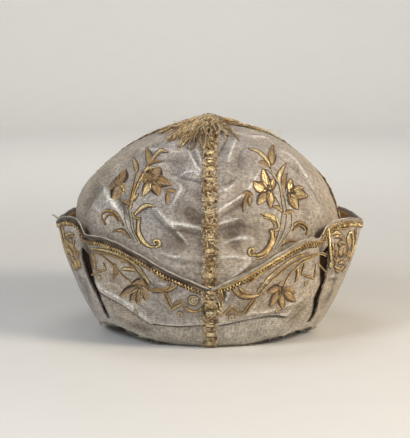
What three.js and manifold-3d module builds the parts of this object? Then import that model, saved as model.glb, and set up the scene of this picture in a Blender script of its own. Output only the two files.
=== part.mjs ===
// An embroidered cap standing on its rim. Millimetres, +Z up, the front faces -Y.
// The crown is four silk gores sewn at the front, sides and back. A lined cuff in two halves is turned up
// round it: its top edge dips at the front and back seams, and it stands away from the crown in a sharp
// corner at each side. Metal braid covers the seams and follows the cuff's edge, and a tassel lies on top.
import * as THREE from "three";
import { mergeVertices } from "three/addons/utils/BufferGeometryUtils.js";
import Module from "manifold-3d";

const wasm = await Module();
wasm.setup();

// Driving dimensions
const DEPTH_RATIO = 1.03; // front-to-back size over side-to-side size
const GORE_BULGE = 0.015; // how far the middle of a gore swells past its seams, as a share of the radius
const SILK = 2; // crown and cuff walls: silk on its backing
const LINING = 1; // brown lining inside the cuff
const GAP = 0.4; // between neighbouring pieces
const RIM_SLANT = 1.4; // the wall meets the table at a slant, so its flat edge is wider than the wall

const CUFF_STANDOFF = 4.8; // cuff's outer face from the crown, where the two meet at the rim
const LIFT_START = 18; // height where the cuff begins to lean away from the crown
const LIFT_SPAN = 76; // height over which it reaches the lift of the edge table
const SLOPE_STEP = 0.5; // height over which the slant of the wall is measured
const SLIT_LEAN = { right: 5, left: -5 }; // degrees that the foot of the split silk swings to the side

const BRAID_WIDTH = 13;
const BRAID_THICKNESS = 1;
const BRAID_FOOT = 44; // the crown's braids run down behind the cuff to this height
const BRAID_HEAD = 12.5; // and stop this far from the middle of the tassel
const CUFF_BRAID_FOOT = 0.8;
const EDGING_WIDTH = 5.5;
const EDGING_THICKNESS = 0.9;
const EDGING_INSET = 1.5; // below the cuff's top edge

// Outline of the tassel's bound head above the crown's top
const TASSEL_HEAD = [
  { radius: 0, height: 0 },
  { radius: 8.4, height: 0 },
  { radius: 9, height: 2.2 },
  { radius: 8.2, height: 5 },
  { radius: 5.6, height: 7.6 },
  { radius: 0, height: 8.6 },
];
const TASSEL_SIDES = 18;
const LOCK_STEPS = 5;
const LOCK_ROOT = 6; // from the axis, inside the head
const LOCK_ROUNDING = 0.35; // share of its thickness that a lock loses at its sides
const LOCK_WIDTH = { root: 3.4, tip: 13 };
const LOCK_THICKNESS = 2.4;
const LOCK_CLEARANCE = 2.2; // above the crown, so that the locks pass over the braids

// Locks of the tassel, as they lie: most of them have fallen to the front
const LOCKS = [
  { azimuth: -98, length: 40 },
  { azimuth: -72, length: 38 },
  { azimuth: -52, length: 44 },
  { azimuth: -34, length: 56 },
  { azimuth: -16, length: 58 },
  { azimuth: 2, length: 62 },
  { azimuth: 22, length: 42 },
  { azimuth: 48, length: 30 },
  { azimuth: 76, length: 36 },
  { azimuth: 98, length: 46 },
  { azimuth: 128, length: 36 },
  { azimuth: 158, length: 34 },
  { azimuth: 188, length: 36 },
  { azimuth: 222, length: 34 },
];

// Compass angles of the crown's seams at the cuff and at the top: the side seams lean back above the cuff
const SEAMS = {
  front: { foot: 0, head: 0 },
  right: { foot: 83, head: 113 },
  back: { foot: 180, head: 180 },
  left: { foot: 254, head: 250 },
};
const SEAM_BEND = { from: 0.42, to: 0.7 }; // shares of the meridian between which they lean

// Crown from the rim to the small opening under the tassel
const CROWN_SECTIONS = [
  { height: 0, radius: 84 },
  { height: 9, radius: 94 },
  { height: 22, radius: 101 },
  { height: 42, radius: 107.5 },
  { height: 67, radius: 112.5 },
  { height: 91, radius: 114 },
  { height: 107, radius: 112 },
  { height: 121.5, radius: 105 },
  { height: 135, radius: 93 },
  { height: 148, radius: 77.5 },
  { height: 159, radius: 60 },
  { height: 167, radius: 42 },
  { height: 172, radius: 22 },
  { height: 173.5, radius: 5 },
];

// Main dents and ridges of the crown: a fold runs through a place on it, leaning from the upright
const CROWN_FOLDS = [
  { azimuth: -62, height: 120, run: 34, lean: 24, width: 9, depth: -3.2 },
  { azimuth: -48, height: 118, run: 36, lean: -14, width: 7, depth: 2.2 },
  { azimuth: -30, height: 152, run: 9, lean: 84, width: 18, depth: 2.4 },
  { azimuth: -17, height: 140, run: 16, lean: -55, width: 7, depth: -3 },
  { azimuth: -18, height: 104, run: 26, lean: -38, width: 7, depth: 2.2 },
  { azimuth: -11, height: 90, run: 12, lean: 80, width: 8, depth: -2.4 },
  { azimuth: 60, height: 130, run: 36, lean: -20, width: 7, depth: -4 },
  { azimuth: 86, height: 112, run: 26, lean: 0, width: 44, depth: -5.5 },
  { azimuth: -86, height: 112, run: 26, lean: 0, width: 44, depth: 1 },
  { azimuth: 30, height: 153, run: 9, lean: -84, width: 18, depth: 2.4 },
  { azimuth: 15, height: 118, run: 24, lean: 52, width: 8, depth: -2.6 },
  { azimuth: 16, height: 92, run: 20, lean: 70, width: 9, depth: -2.2 },
  { azimuth: 135, height: 128, run: 32, lean: 16, width: 9, depth: -3 },
  { azimuth: 160, height: 112, run: 24, lean: -48, width: 8, depth: -2.4 },
  { azimuth: -135, height: 124, run: 32, lean: -18, width: 9, depth: -3 },
  { azimuth: -160, height: 108, run: 24, lean: 50, width: 8, depth: -2.4 },
];

// Main folds of the cuff, given in the same way
const CUFF_FOLDS = [
  { azimuth: -47, height: 35, run: 30, lean: -46, width: 7, depth: 2.2 },
  { azimuth: 35, height: 19, run: 20, lean: 56, width: 6, depth: 1.6 },
];

// The rim curls up off the table at these places, and rests on it elsewhere
const RIM_LIFTS = [
  { azimuth: -52, height: 13, reach: 38 },
  { azimuth: 48, height: 9, reach: 38 },
];

// Top edge of the cuff from the front seam round each side to the back seam: compass angles on the two
// sides, height, how far it leans away from the crown, and the steps of the wall up to the next row
const CUFF_EDGE = [
  { place: "front seam", right: 0, left: 0, height: 52, lift: 2, steps: 3 },
  { place: "front rise", right: 14, left: 15, height: 65, lift: 2.2, steps: 3 },
  { place: "front slope", right: 28, left: 30, height: 80.5, lift: 2.6, steps: 2 },
  { place: "shoulder", right: 38, left: 42, height: 88.5, lift: 3.6, steps: 2 },
  { place: "slit front", right: 45, left: 54.5, height: 88.5, lift: 4.6, steps: 1 },
  { place: "slit back", right: 46.6, left: 56, height: 90.5, lift: 4.8, steps: 1 },
  { place: "lobe", right: 51, left: 60, height: 99.5, lift: 5.6, steps: 3 },
  { place: "crest", right: 65, left: 69, height: 99.5, lift: 7.4, steps: 4 },
  { place: "corner", right: 90, left: 90, height: 91, lift: 13.2, steps: 4 },
  { place: "back crest", right: 112, left: 112, height: 94, lift: 7.4, steps: 3 },
  { place: "back shoulder", right: 132, left: 132, height: 90, lift: 4.6, steps: 3 },
  { place: "back slope", right: 151, left: 151, height: 80.5, lift: 2.6, steps: 3 },
  { place: "back rise", right: 166, left: 166, height: 65, lift: 2.2, steps: 3 },
  { place: "back seam", right: 180, left: 180, height: 52, lift: 2, steps: 0 },
];
// Rows of the cuff, as shares of its height
const CUFF_RISE = [0, 0.07, 0.16, 0.28, 0.41, 0.55, 0.69, 0.82, 0.91, 1];
const SLIT_ROWS = { first: 1, last: 7 }; // the split silk leaves the hem and the edge band whole
const LINING_ROWS = { first: 3, last: 8 };
const GORE_COLUMNS = 10;
const GORE_ROWS = 22;

const FOLD_END_RADIUS = 20; // the folds die away between these two distances from the axis
const FOLD_FULL_RADIUS = 55;
const ALONG_STEP = 1e-4; // share of the meridian over which the crown's direction is measured

const radians = THREE.MathUtils.degToRad;

const silk = new THREE.MeshStandardMaterial({ color: 0xa69b8e, roughness: 0.5, metalness: 0 });
const brownLining = new THREE.MeshStandardMaterial({ color: 0x5f3d1e, roughness: 0.85, metalness: 0 });
const metalThread = new THREE.MeshStandardMaterial({ color: 0xa9813c, roughness: 0.4, metalness: 0.9 });

const meridian = new THREE.SplineCurve(
  CROWN_SECTIONS.map(({ radius, height }) => new THREE.Vector2(radius, height)),
);

// A point at a compass angle from the front, turning towards +X
function around(azimuth, radius, height) {
  const a = radians(azimuth);
  return new THREE.Vector3(radius * Math.sin(a), -radius * DEPTH_RATIO * Math.cos(a), height);
}

function bulge(azimuth) {
  return 1 + GORE_BULGE * Math.sin(2 * radians(azimuth)) ** 2;
}

// Share of the meridian, 0 to 1, where a rising or falling measure of it reaches a value
function alongMeridian(measure, value) {
  const rising = measure(meridian.getPoint(1)) > measure(meridian.getPoint(0));
  let low = 0;
  let high = 1;
  for (let i = 0; i < 40; i++) {
    const middle = (low + high) / 2;
    if (measure(meridian.getPoint(middle)) < value === rising) low = middle;
    else high = middle;
  }
  return low;
}

// Share of the meridian at a distance from the middle of the crown's top
function awayFromTop(distance) {
  const top = CROWN_SECTIONS.at(-1).height;
  return alongMeridian((p) => -Math.hypot(p.x, top - p.y), -distance);
}

function radiusAt(height) {
  return meridian.getPoint(alongMeridian((p) => p.y, height)).x;
}

// Signed angle from one compass angle to another
function turnFrom(start, azimuth) {
  return THREE.MathUtils.euclideanModulo(azimuth - start + 180, 360) - 180;
}

// Compass angle of a seam at a share of the meridian
function seamAt({ foot, head }, along) {
  return THREE.MathUtils.lerp(foot, head, THREE.MathUtils.smoothstep(along, SEAM_BEND.from, SEAM_BEND.to));
}

// Height of the rim above the table
function rimHeight(azimuth) {
  let lifted = 0;
  for (const { azimuth: middle, height, reach } of RIM_LIFTS) {
    const share = Math.min(Math.abs(turnFrom(middle, azimuth)) / reach, 1);
    lifted += height * Math.cos((share * Math.PI) / 2) ** 2;
  }
  return lifted;
}

// How far a table of folds pushes the cloth out or in: they die away towards the tassel
function foldDepth(folds, azimuth, height, radius) {
  let depth = 0;
  for (const fold of folds) {
    const turn = turnFrom(fold.azimuth, azimuth);
    const aside = radians(turn) * radius;
    const above = height - fold.height;
    const lean = radians(fold.lean);
    const across = aside * Math.cos(lean) - above * Math.sin(lean);
    const along = aside * Math.sin(lean) + above * Math.cos(lean);
    depth += fold.depth * Math.exp(-((across / fold.width) ** 2) - (along / fold.run) ** 2);
  }
  return depth * THREE.MathUtils.smoothstep(radius, FOLD_END_RADIUS, FOLD_FULL_RADIUS);
}

function smoothCrown(azimuth, along) {
  const { x: radius, y: height } = meridian.getPoint(THREE.MathUtils.clamp(along, 0, 1));
  return around(azimuth, radius * bulge(azimuth), height);
}

// A point of the crown, moved out from its outer face by an offset
function crownPoint(azimuth, along, offset) {
  const here = smoothCrown(azimuth, along);
  const east = smoothCrown(azimuth + 1, along).sub(smoothCrown(azimuth - 1, along));
  const up = smoothCrown(azimuth, along + ALONG_STEP).sub(smoothCrown(azimuth, along - ALONG_STEP));
  const normal = east.cross(up).normalize();
  const { x: radius } = meridian.getPoint(along);
  return here.addScaledVector(normal, foldDepth(CROWN_FOLDS, azimuth, here.z, radius) + offset);
}

// A closed wall between a grid of outer points and the inner points behind them. Columns run towards a
// larger compass angle and rows upwards, and cells that are not kept leave an opening.
function wall(outer, inner, kept = () => true) {
  const columns = outer.length;
  const rows = outer[0].length;
  const inside = columns * rows;
  const at = (i, j) => i * rows + j;
  const holds = (i, j) => i >= 0 && j >= 0 && i < columns - 1 && j < rows - 1 && kept(i, j);
  const index = [];
  const quad = (a, b, c, d) => index.push(a, b, c, a, c, d);
  for (let i = 0; i < columns - 1; i++) {
    for (let j = 0; j < rows - 1; j++) {
      if (!holds(i, j)) continue;
      const [a, b, c, d] = [at(i, j), at(i + 1, j), at(i + 1, j + 1), at(i, j + 1)];
      quad(a, b, c, d);
      quad(inside + a, inside + d, inside + c, inside + b);
      if (!holds(i, j - 1)) quad(b, a, inside + a, inside + b);
      if (!holds(i + 1, j)) quad(c, b, inside + b, inside + c);
      if (!holds(i, j + 1)) quad(d, c, inside + c, inside + d);
      if (!holds(i - 1, j)) quad(a, d, inside + d, inside + a);
    }
  }
  const geometry = new THREE.BufferGeometry().setFromPoints([...outer.flat(), ...inner.flat()]);
  geometry.setIndex(index);
  return geometry;
}

// Points of a grid, one list for each column
function grid(columns, rows, pointAt) {
  return columns.map((column) => rows.map((row) => pointAt(column, row)));
}

function evenly(count, from = 0, to = 1) {
  return Array.from({ length: count + 1 }, (_, i) => from + ((to - from) * i) / count);
}

const goreRows = evenly(GORE_ROWS);

// One gore of the crown, from one seam to the next
function goreGeometry(start, end) {
  const place = (share, along) => {
    const inset = THREE.MathUtils.radToDeg(GAP / 2 / meridian.getPoint(along).x);
    const from = seamAt(start, along);
    const span = THREE.MathUtils.euclideanModulo(seamAt(end, along) - from, 360);
    return from + THREE.MathUtils.lerp(inset, span - inset, share);
  };
  const columns = evenly(GORE_COLUMNS);
  const fromRim = (azimuth, share) => {
    const foot = alongMeridian((p) => p.y, rimHeight(azimuth));
    return THREE.MathUtils.lerp(foot, 1, share);
  };
  const outer = grid(columns, goreRows, (share, row) => {
    const azimuth = place(share, row);
    return crownPoint(azimuth, fromRim(azimuth, row), 0);
  });
  const inner = grid(columns, goreRows, (share, row) => {
    const azimuth = place(share, row);
    const rim = rimHeight(azimuth);
    return row === 0
      ? around(azimuth, radiusAt(rim) * bulge(azimuth) - SILK * RIM_SLANT, rim)
      : crownPoint(azimuth, fromRim(azimuth, row), -SILK);
  });
  return wall(outer, inner);
}

// Braid sewn over a seam of the crown
function crownBraidGeometry(seam) {
  const head = awayFromTop(BRAID_HEAD);
  const foot = alongMeridian((p) => p.y, BRAID_FOOT);
  const rows = [foot, ...goreRows.filter((along) => along > foot && along < head), head];
  const aside = (share, along) =>
    seamAt(seam, along) + THREE.MathUtils.radToDeg((share * BRAID_WIDTH) / 2 / meridian.getPoint(along).x);
  const face = (offset) =>
    grid([-1, 0, 1], rows, (share, along) => crownPoint(aside(share, along), along, offset));
  return wall(face(GAP + BRAID_THICKNESS), face(GAP));
}

// Edge of the cuff at a place along its table, from 0 at the front seam to the last row at the back seam
function edgeAt(side, place) {
  const last = CUFF_EDGE.length - 1;
  const curve = new THREE.SplineCurve(CUFF_EDGE.map((row) => new THREE.Vector2(row[side], row.height)));
  const { x: azimuth, y: height } = curve.getPoint(place / last);
  const row = Math.min(Math.floor(place), last - 1);
  const lift = THREE.MathUtils.lerp(CUFF_EDGE[row].lift, CUFF_EDGE[row + 1].lift, place - row);
  return { azimuth, height, lift };
}

// How far a column of the cuff swings aside at its foot, so that the slit leans as the silk has split
function footSwing(side, azimuth) {
  const slit = CUFF_EDGE.find((row) => row.place === "slit front")[side];
  const corner = CUFF_EDGE.find((row) => row.place === "corner")[side];
  const share = azimuth < slit ? azimuth / slit : (corner - azimuth) / (corner - slit);
  return SLIT_LEAN[side] * Math.max(share, 0);
}

// Radius of the cuff's outer face, moved out by an offset that is measured square to the wall
function cuffRadius(azimuth, height, lift, offset) {
  const below = Math.max(height - SLOPE_STEP, 0);
  const slope = (radiusAt(height + SLOPE_STEP) - radiusAt(below)) / (height + SLOPE_STEP - below);
  const lean = lift * Math.max(0, (height - LIFT_START) / LIFT_SPAN);
  const radius = radiusAt(height) * bulge(azimuth) + CUFF_STANDOFF + lean;
  return radius + foldDepth(CUFF_FOLDS, azimuth, height, radius) + offset * Math.hypot(1, slope);
}

function cuffPoint(side, place, rise, offset) {
  const { azimuth, height, lift } = edgeAt(side, place);
  const seamInset = THREE.MathUtils.radToDeg(GAP / 2 / meridian.getPoint(0).x);
  const swung = azimuth + footSwing(side, azimuth) * (1 - rise);
  const clear = THREE.MathUtils.clamp(swung, seamInset, 180 - seamInset);
  const compass = side === "right" ? clear : -clear;
  const z = THREE.MathUtils.lerp(rimHeight(compass), height, rise);
  return around(compass, cuffRadius(compass, z, lift, offset), z);
}

// Columns of the cuff, as places along its edge table
const cuffPlaces = CUFF_EDGE.flatMap(({ steps }, row) =>
  Array.from({ length: Math.max(steps, 1) }, (_, i) => row + i / Math.max(steps, 1)),
);
const slitPlace = CUFF_EDGE.findIndex((row) => row.place === "slit front");

// A strip of the cuff between two offsets from its outer face, with the slit cut through it where asked
function cuffWall(side, places, riseAt, rows, offsets, slit = null) {
  const ordered = side === "right" ? places : [...places].reverse();
  const [outer, inner] = offsets.map((offset) =>
    grid(ordered, rows, (place, row) => cuffPoint(side, place, riseAt(place, row), offset)),
  );
  const slitColumn = side === "right" ? ordered.indexOf(slitPlace) : ordered.indexOf(slitPlace) - 1;
  const kept = (i, j) => !slit || i !== slitColumn || j < slit.first || j > slit.last;
  return wall(outer, inner, kept);
}

function cuffGeometry(side) {
  const riseAt = (place, row) => CUFF_RISE[row];
  return cuffWall(side, cuffPlaces, riseAt, [...CUFF_RISE.keys()], [0, -SILK], SLIT_ROWS);
}

function liningGeometry(side) {
  const rows = [...CUFF_RISE.keys()].slice(LINING_ROWS.first, LINING_ROWS.last + 1);
  const outside = -SILK - GAP;
  return cuffWall(side, cuffPlaces, (place, row) => CUFF_RISE[row], rows, [outside, outside - LINING]);
}

// Braid along the cuff's top edge, between the braids of the two seams
function edgingGeometry(side) {
  const riseAt = (place, below) => 1 - below / edgeAt(side, place).height;
  const rows = [EDGING_INSET + EDGING_WIDTH, EDGING_INSET];
  const offsets = [GAP + EDGING_THICKNESS, GAP];
  return cuffWall(side, cuffPlaces.slice(1, -2), riseAt, rows, offsets);
}

// Braid over the cuff's seam at the front or the back
function cuffBraidGeometry(seam) {
  const { height, lift } = CUFF_EDGE[0];
  const heights = CUFF_RISE.map((rise) => Math.max(rise * height, CUFF_BRAID_FOOT));
  const face = (offset) =>
    grid([-1, 0, 1], heights, (share, z) => {
      const radius = cuffRadius(seam, z, lift, offset);
      return around(seam + THREE.MathUtils.radToDeg((share * BRAID_WIDTH) / 2 / radius), radius, z);
    });
  return wall(face(GAP + BRAID_THICKNESS), face(GAP));
}

function solid(geometry) {
  const bare = geometry.clone();
  bare.deleteAttribute("normal");
  bare.deleteAttribute("uv");
  const merged = mergeVertices(bare);
  const vertProperties = merged.getAttribute("position").array;
  return new wasm.Manifold(new wasm.Mesh({ numProp: 3, vertProperties, triVerts: merged.index.array }));
}

function geometryOf(body) {
  const mesh = body.getMesh();
  const geometry = new THREE.BufferGeometry();
  geometry.setAttribute("position", new THREE.BufferAttribute(mesh.vertProperties, 3));
  geometry.setIndex(new THREE.BufferAttribute(mesh.triVerts, 1));
  return geometry;
}

// Bound head of the tassel, on the axis just above the crown's opening
function tasselHeadGeometry() {
  const base = CROWN_SECTIONS.at(-1).height + GAP;
  const profile = TASSEL_HEAD.map(({ radius, height }) => new THREE.Vector2(radius, base + height));
  return new THREE.LatheGeometry(profile, TASSEL_SIDES).rotateX(Math.PI / 2);
}

// One lock of metal threads, fanned out from the head and lying on the crown
function lockGeometry({ azimuth, length }) {
  const rows = evenly(LOCK_STEPS, LOCK_ROOT + length, LOCK_ROOT).map(awayFromTop);
  const halfWidth = (along) => {
    const share = (rows.at(-1) - along) / (rows.at(-1) - rows[0]);
    return THREE.MathUtils.lerp(LOCK_WIDTH.root, LOCK_WIDTH.tip, share) / 2;
  };
  const face = (offset) =>
    grid([-1, 0, 1], rows, (share, along) => {
      const aside = THREE.MathUtils.radToDeg((share * halfWidth(along)) / meridian.getPoint(along).x);
      const crest = offset * (1 - LOCK_ROUNDING * share ** 2);
      return crownPoint(azimuth + aside, along, LOCK_CLEARANCE + crest);
    });
  return wall(face(LOCK_THICKNESS), face(0));
}

function tasselGeometry() {
  let tassel = solid(tasselHeadGeometry());
  for (const lock of LOCKS) tassel = tassel.add(solid(lockGeometry(lock)));
  return geometryOf(tassel);
}

const cap = new THREE.Group();

function addPiece(name, geometry, material) {
  const mesh = new THREE.Mesh(geometry, material);
  mesh.name = name;
  cap.add(mesh);
}

const GORES = {
  front_right: [SEAMS.front, SEAMS.right],
  back_right: [SEAMS.right, SEAMS.back],
  back_left: [SEAMS.back, SEAMS.left],
  front_left: [SEAMS.left, SEAMS.front],
};

for (const [place, [start, end]] of Object.entries(GORES)) {
  addPiece(`gore_${place}`, goreGeometry(start, end), silk);
}
for (const [place, seam] of Object.entries(SEAMS)) {
  addPiece(`crown_braid_${place}`, crownBraidGeometry(seam), metalThread);
}
for (const side of ["left", "right"]) {
  addPiece(`cuff_${side}`, cuffGeometry(side), silk);
  addPiece(`cuff_lining_${side}`, liningGeometry(side), brownLining);
  addPiece(`cuff_edging_${side}`, edgingGeometry(side), metalThread);
}
for (const place of ["front", "back"]) {
  addPiece(`cuff_braid_${place}`, cuffBraidGeometry(SEAMS[place].foot), metalThread);
}
addPiece("tassel", tasselGeometry(), metalThread);

export default cap;
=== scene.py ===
"""Looks of an embroidered cap: crumpled silk, gilt embroidery, braid, piping and a tassel on its frame."""

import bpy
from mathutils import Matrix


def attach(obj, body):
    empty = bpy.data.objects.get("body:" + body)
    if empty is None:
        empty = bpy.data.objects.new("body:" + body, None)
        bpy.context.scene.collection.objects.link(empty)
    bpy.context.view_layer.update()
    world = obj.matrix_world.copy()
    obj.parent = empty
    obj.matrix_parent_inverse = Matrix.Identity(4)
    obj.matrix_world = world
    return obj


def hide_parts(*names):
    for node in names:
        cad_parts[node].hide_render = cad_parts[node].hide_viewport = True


bl_info = {
    "name": "Embroidered cap",
    "version": (1, 0, 0),
    "blender": (4, 5, 0),
    "location": "View3D > Sidebar > Cap",
    "description": "Dresses the cap's frame in crumpled silk, gilt embroidery, braid, piping and a tassel",
    "category": "Object",
}

from typing import NamedTuple

import bpy
import numpy as np
from mathutils import Vector
from mathutils.bvhtree import BVHTree

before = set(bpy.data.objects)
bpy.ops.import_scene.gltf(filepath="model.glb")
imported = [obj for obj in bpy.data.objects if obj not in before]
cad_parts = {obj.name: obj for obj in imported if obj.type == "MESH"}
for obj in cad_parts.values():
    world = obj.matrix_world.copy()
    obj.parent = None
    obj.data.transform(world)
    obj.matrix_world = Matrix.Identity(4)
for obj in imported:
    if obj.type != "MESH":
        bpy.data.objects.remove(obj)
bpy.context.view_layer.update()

MM = 0.001
SIDES = {"left": -1, "right": 1}  # signs of the compass angles

# Photograph's camera: millimetres, degrees and pixels
CAMERA_TARGET = (-3.9, 0.0, 91.0)
CAMERA_DISTANCE = 1300.0
CAMERA_ELEVATION = 8.5
PIXEL_SIZE = 0.86
IMAGE_WIDTH = 410
IMAGE_CENTRE = (205.0, 219.0)
SENSOR_WIDTH = 36.0

# Construction of the frame, in millimetres and degrees
DEPTH_RATIO = 1.03
GORE_BULGE = 0.015
SILK_THICKNESS = 2.0
LINING_THICKNESS = 1.0
PIECE_GAP = 0.4
CUFF_STANDOFF = 4.8
LIFT_START = 18.0
LIFT_SPAN = 76.0
FOLD_END_RADIUS = 20.0
FOLD_FULL_RADIUS = 55.0
CROWN_EYE_HEIGHT = 60.0  # height on the axis from which every place of the crown is seen once
BRAID_WIDTH = 13.0
BRAID_FOOT = 44.0
BRAID_HEAD = 12.5
EDGING_MIDDLE = 4.3  # below the cuff's top edge
EDGING_WIDTH = 5.5
LOWEST = 0.4  # of the cloth and threads above the table
CUFF_TOP = 106.0  # above the highest place of the cuff
CUFF_RADIUS = 110.0  # of the cuff's cloth, for lengths along it
SLIT_RADIUS = 115.0  # of the cuff at its slits
SEAM_RADIUS = 100.0  # of the cuff at its seams
SEAM_GAP = 0.2  # between a gore or a cuff half and its seam
CAST_REACH = 100.0  # degrees either side of the front that the camera may see

# Dents of soft satin: size and height in millimetres, and seed
DENTS = ((30, 0.5, 11), (13, 0.32, 12))
DENT_LEVEL = 0.35
TOP_CALM = 0.8  # share of the dents that is lost at the crown's top
TOP_CALM_RANGE = (0.9, 1.0)  # shares of the meridian between which it is lost
CUFF_CALM = 0.65  # share of the dents that the cuff keeps

# Ripples beside the front and back seams, in millimetres
PUCKER_PITCH = 10.0
PUCKER_REACH = 11.0
PUCKER_HEIGHT = 0.55
PUCKER_PATCH = 20.0  # size of the patches in which the ripples drift
PUCKER_END = (0.8, 0.92)  # shares of the meridian between which they end

# Creases and stains
CREASE_STRENGTH = 0.95
CREASE_SHARPNESS = 0.8  # share of a crease's charted width that its fold takes
MARK_SHARPNESS = 0.45  # share of it that the wear along the fold takes
CREASE_FALL = 1.5  # how steeply a crease falls off
CREASE_ROUND = 0.06  # how rounded its ridge is
CREASE_TOP = 0.36  # brings the rounded ridge back to full height
HALF_BLEND = 20.0  # millimetres either side of the middle, where the back's marks take over
STAIN_MOTTLE = (0.85, 0.35)  # level and swing of a dark patch's strength
STAIN_MOTTLE_SIZE = 11.0  # millimetres

# Tuck of the hem cloth under the silk, in millimetres
TUCK_FADE = 6.0  # degrees from its outer end
TUCK_EDGE = (-0.5, 0.7)  # below its line, between which the cloth sinks
TUCK_SINK = 2.0
TUCK_RUN = 20.0  # below its line, over which the cloth comes out again
TUCK_LIP = 1.3
TUCK_LIP_PLACE = 2.2
TUCK_LIP_WIDTH = 2.4


class Section(NamedTuple):
    """A height of the crown and its radius there."""

    height: float
    radius: float


class Fold(NamedTuple):
    """A dent or ridge through a place, leaning from the upright."""

    azimuth: float
    height: float
    run: float
    lean: float
    width: float
    depth: float


class RimLift(NamedTuple):
    """A stretch where the rim curls up off the table."""

    azimuth: float
    height: float
    reach: float


class EdgePlace(NamedTuple):
    """A place of the cuff's top edge, with its compass angles on the two sides."""

    right: float
    left: float
    height: float
    lift: float


class Seam(NamedTuple):
    """Compass angles of a seam of the crown at the cuff and at the top."""

    foot: float
    head: float


class Crease(NamedTuple):
    """A fine crease along pixels of the photograph: millimetres wide and high, or deep where negative."""

    width: float
    depth: float
    pixels: tuple


class StainAndShade(NamedTuple):
    """A dark soft patch of the silk, partly stain and partly painted shade: its radius in millimetres, its
    strength and its pixel.
    """

    radius: float
    strength: float
    pixel: tuple


class Leaf(NamedTuple):
    """A padded petal or leaf along its midline, with its width and the share of it at the root."""

    width: float
    tarnish: float
    places: tuple
    root: float = 0.1


class Cord(NamedTuple):
    """A couched cord, in millimetres thick, along places of its chart."""

    thickness: float
    tarnish: float
    places: tuple


class Spangle(NamedTuple):
    """A small sewn ring and its radius in millimetres."""

    radius: float
    place: tuple


class SlitPlace(NamedTuple):
    """A pixel of the middle of a slit and its width there in millimetres."""

    pixel: tuple
    width: float


def table_of(kind, *rows):
    """Rows of a table, each made the same kind of tuple."""
    return tuple(kind(*row) for row in rows)


CROWN_SECTIONS = table_of(
    Section,
    (0, 84),
    (9, 94),
    (22, 101),
    (42, 107.5),
    (67, 112.5),
    (91, 114),
    (107, 112),
    (121.5, 105),
    (135, 93),
    (148, 77.5),
    (159, 60),
    (167, 42),
    (172, 22),
    (173.5, 5),
)

CROWN_FOLDS = table_of(
    Fold,
    (-62, 120, 34, 24, 9, -3.2),
    (-48, 118, 36, -14, 7, 2.2),
    (-30, 152, 9, 84, 18, 2.4),
    (-17, 140, 16, -55, 7, -3),
    (-18, 104, 26, -38, 7, 2.2),
    (-11, 90, 12, 80, 8, -2.4),
    (60, 130, 36, -20, 7, -4),
    (86, 112, 26, 0, 44, -5.5),
    (-86, 112, 26, 0, 44, 1),
    (30, 153, 9, -84, 18, 2.4),
    (15, 118, 24, 52, 8, -2.6),
    (16, 92, 20, 70, 9, -2.2),
    (135, 128, 32, 16, 9, -3),
    (160, 112, 24, -48, 8, -2.4),
    (-135, 124, 32, -18, 9, -3),
    (-160, 108, 24, 50, 8, -2.4),
)

CUFF_FOLDS = table_of(
    Fold,
    (-47, 35, 30, -46, 7, 2.2),
    (35, 19, 20, 56, 6, 1.6),
)

RIM_LIFTS = table_of(
    RimLift,
    (-52, 13, 38),
    (48, 9, 38),
)

CUFF_EDGE = table_of(
    EdgePlace,
    (0, 0, 52, 2),
    (14, 15, 65, 2.2),
    (28, 30, 80.5, 2.6),
    (38, 42, 88.5, 3.6),
    (45, 54.5, 88.5, 4.6),
    (46.6, 56, 90.5, 4.8),
    (51, 60, 99.5, 5.6),
    (65, 69, 99.5, 7.4),
    (90, 90, 91, 13.2),
    (112, 112, 94, 7.4),
    (132, 132, 90, 4.6),
    (151, 151, 80.5, 2.6),
    (166, 166, 65, 2.2),
    (180, 180, 52, 2),
)

SEAMS = {"front": Seam(0, 0), "right": Seam(83, 113), "back": Seam(180, 180), "left": Seam(254, 250)}
SEAM_BEND = (0.42, 0.7)
GORES = {
    "front_right": ("front", "right"),
    "back_right": ("right", "back"),
    "back_left": ("back", "left"),
    "front_left": ("left", "front"),
}

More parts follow.
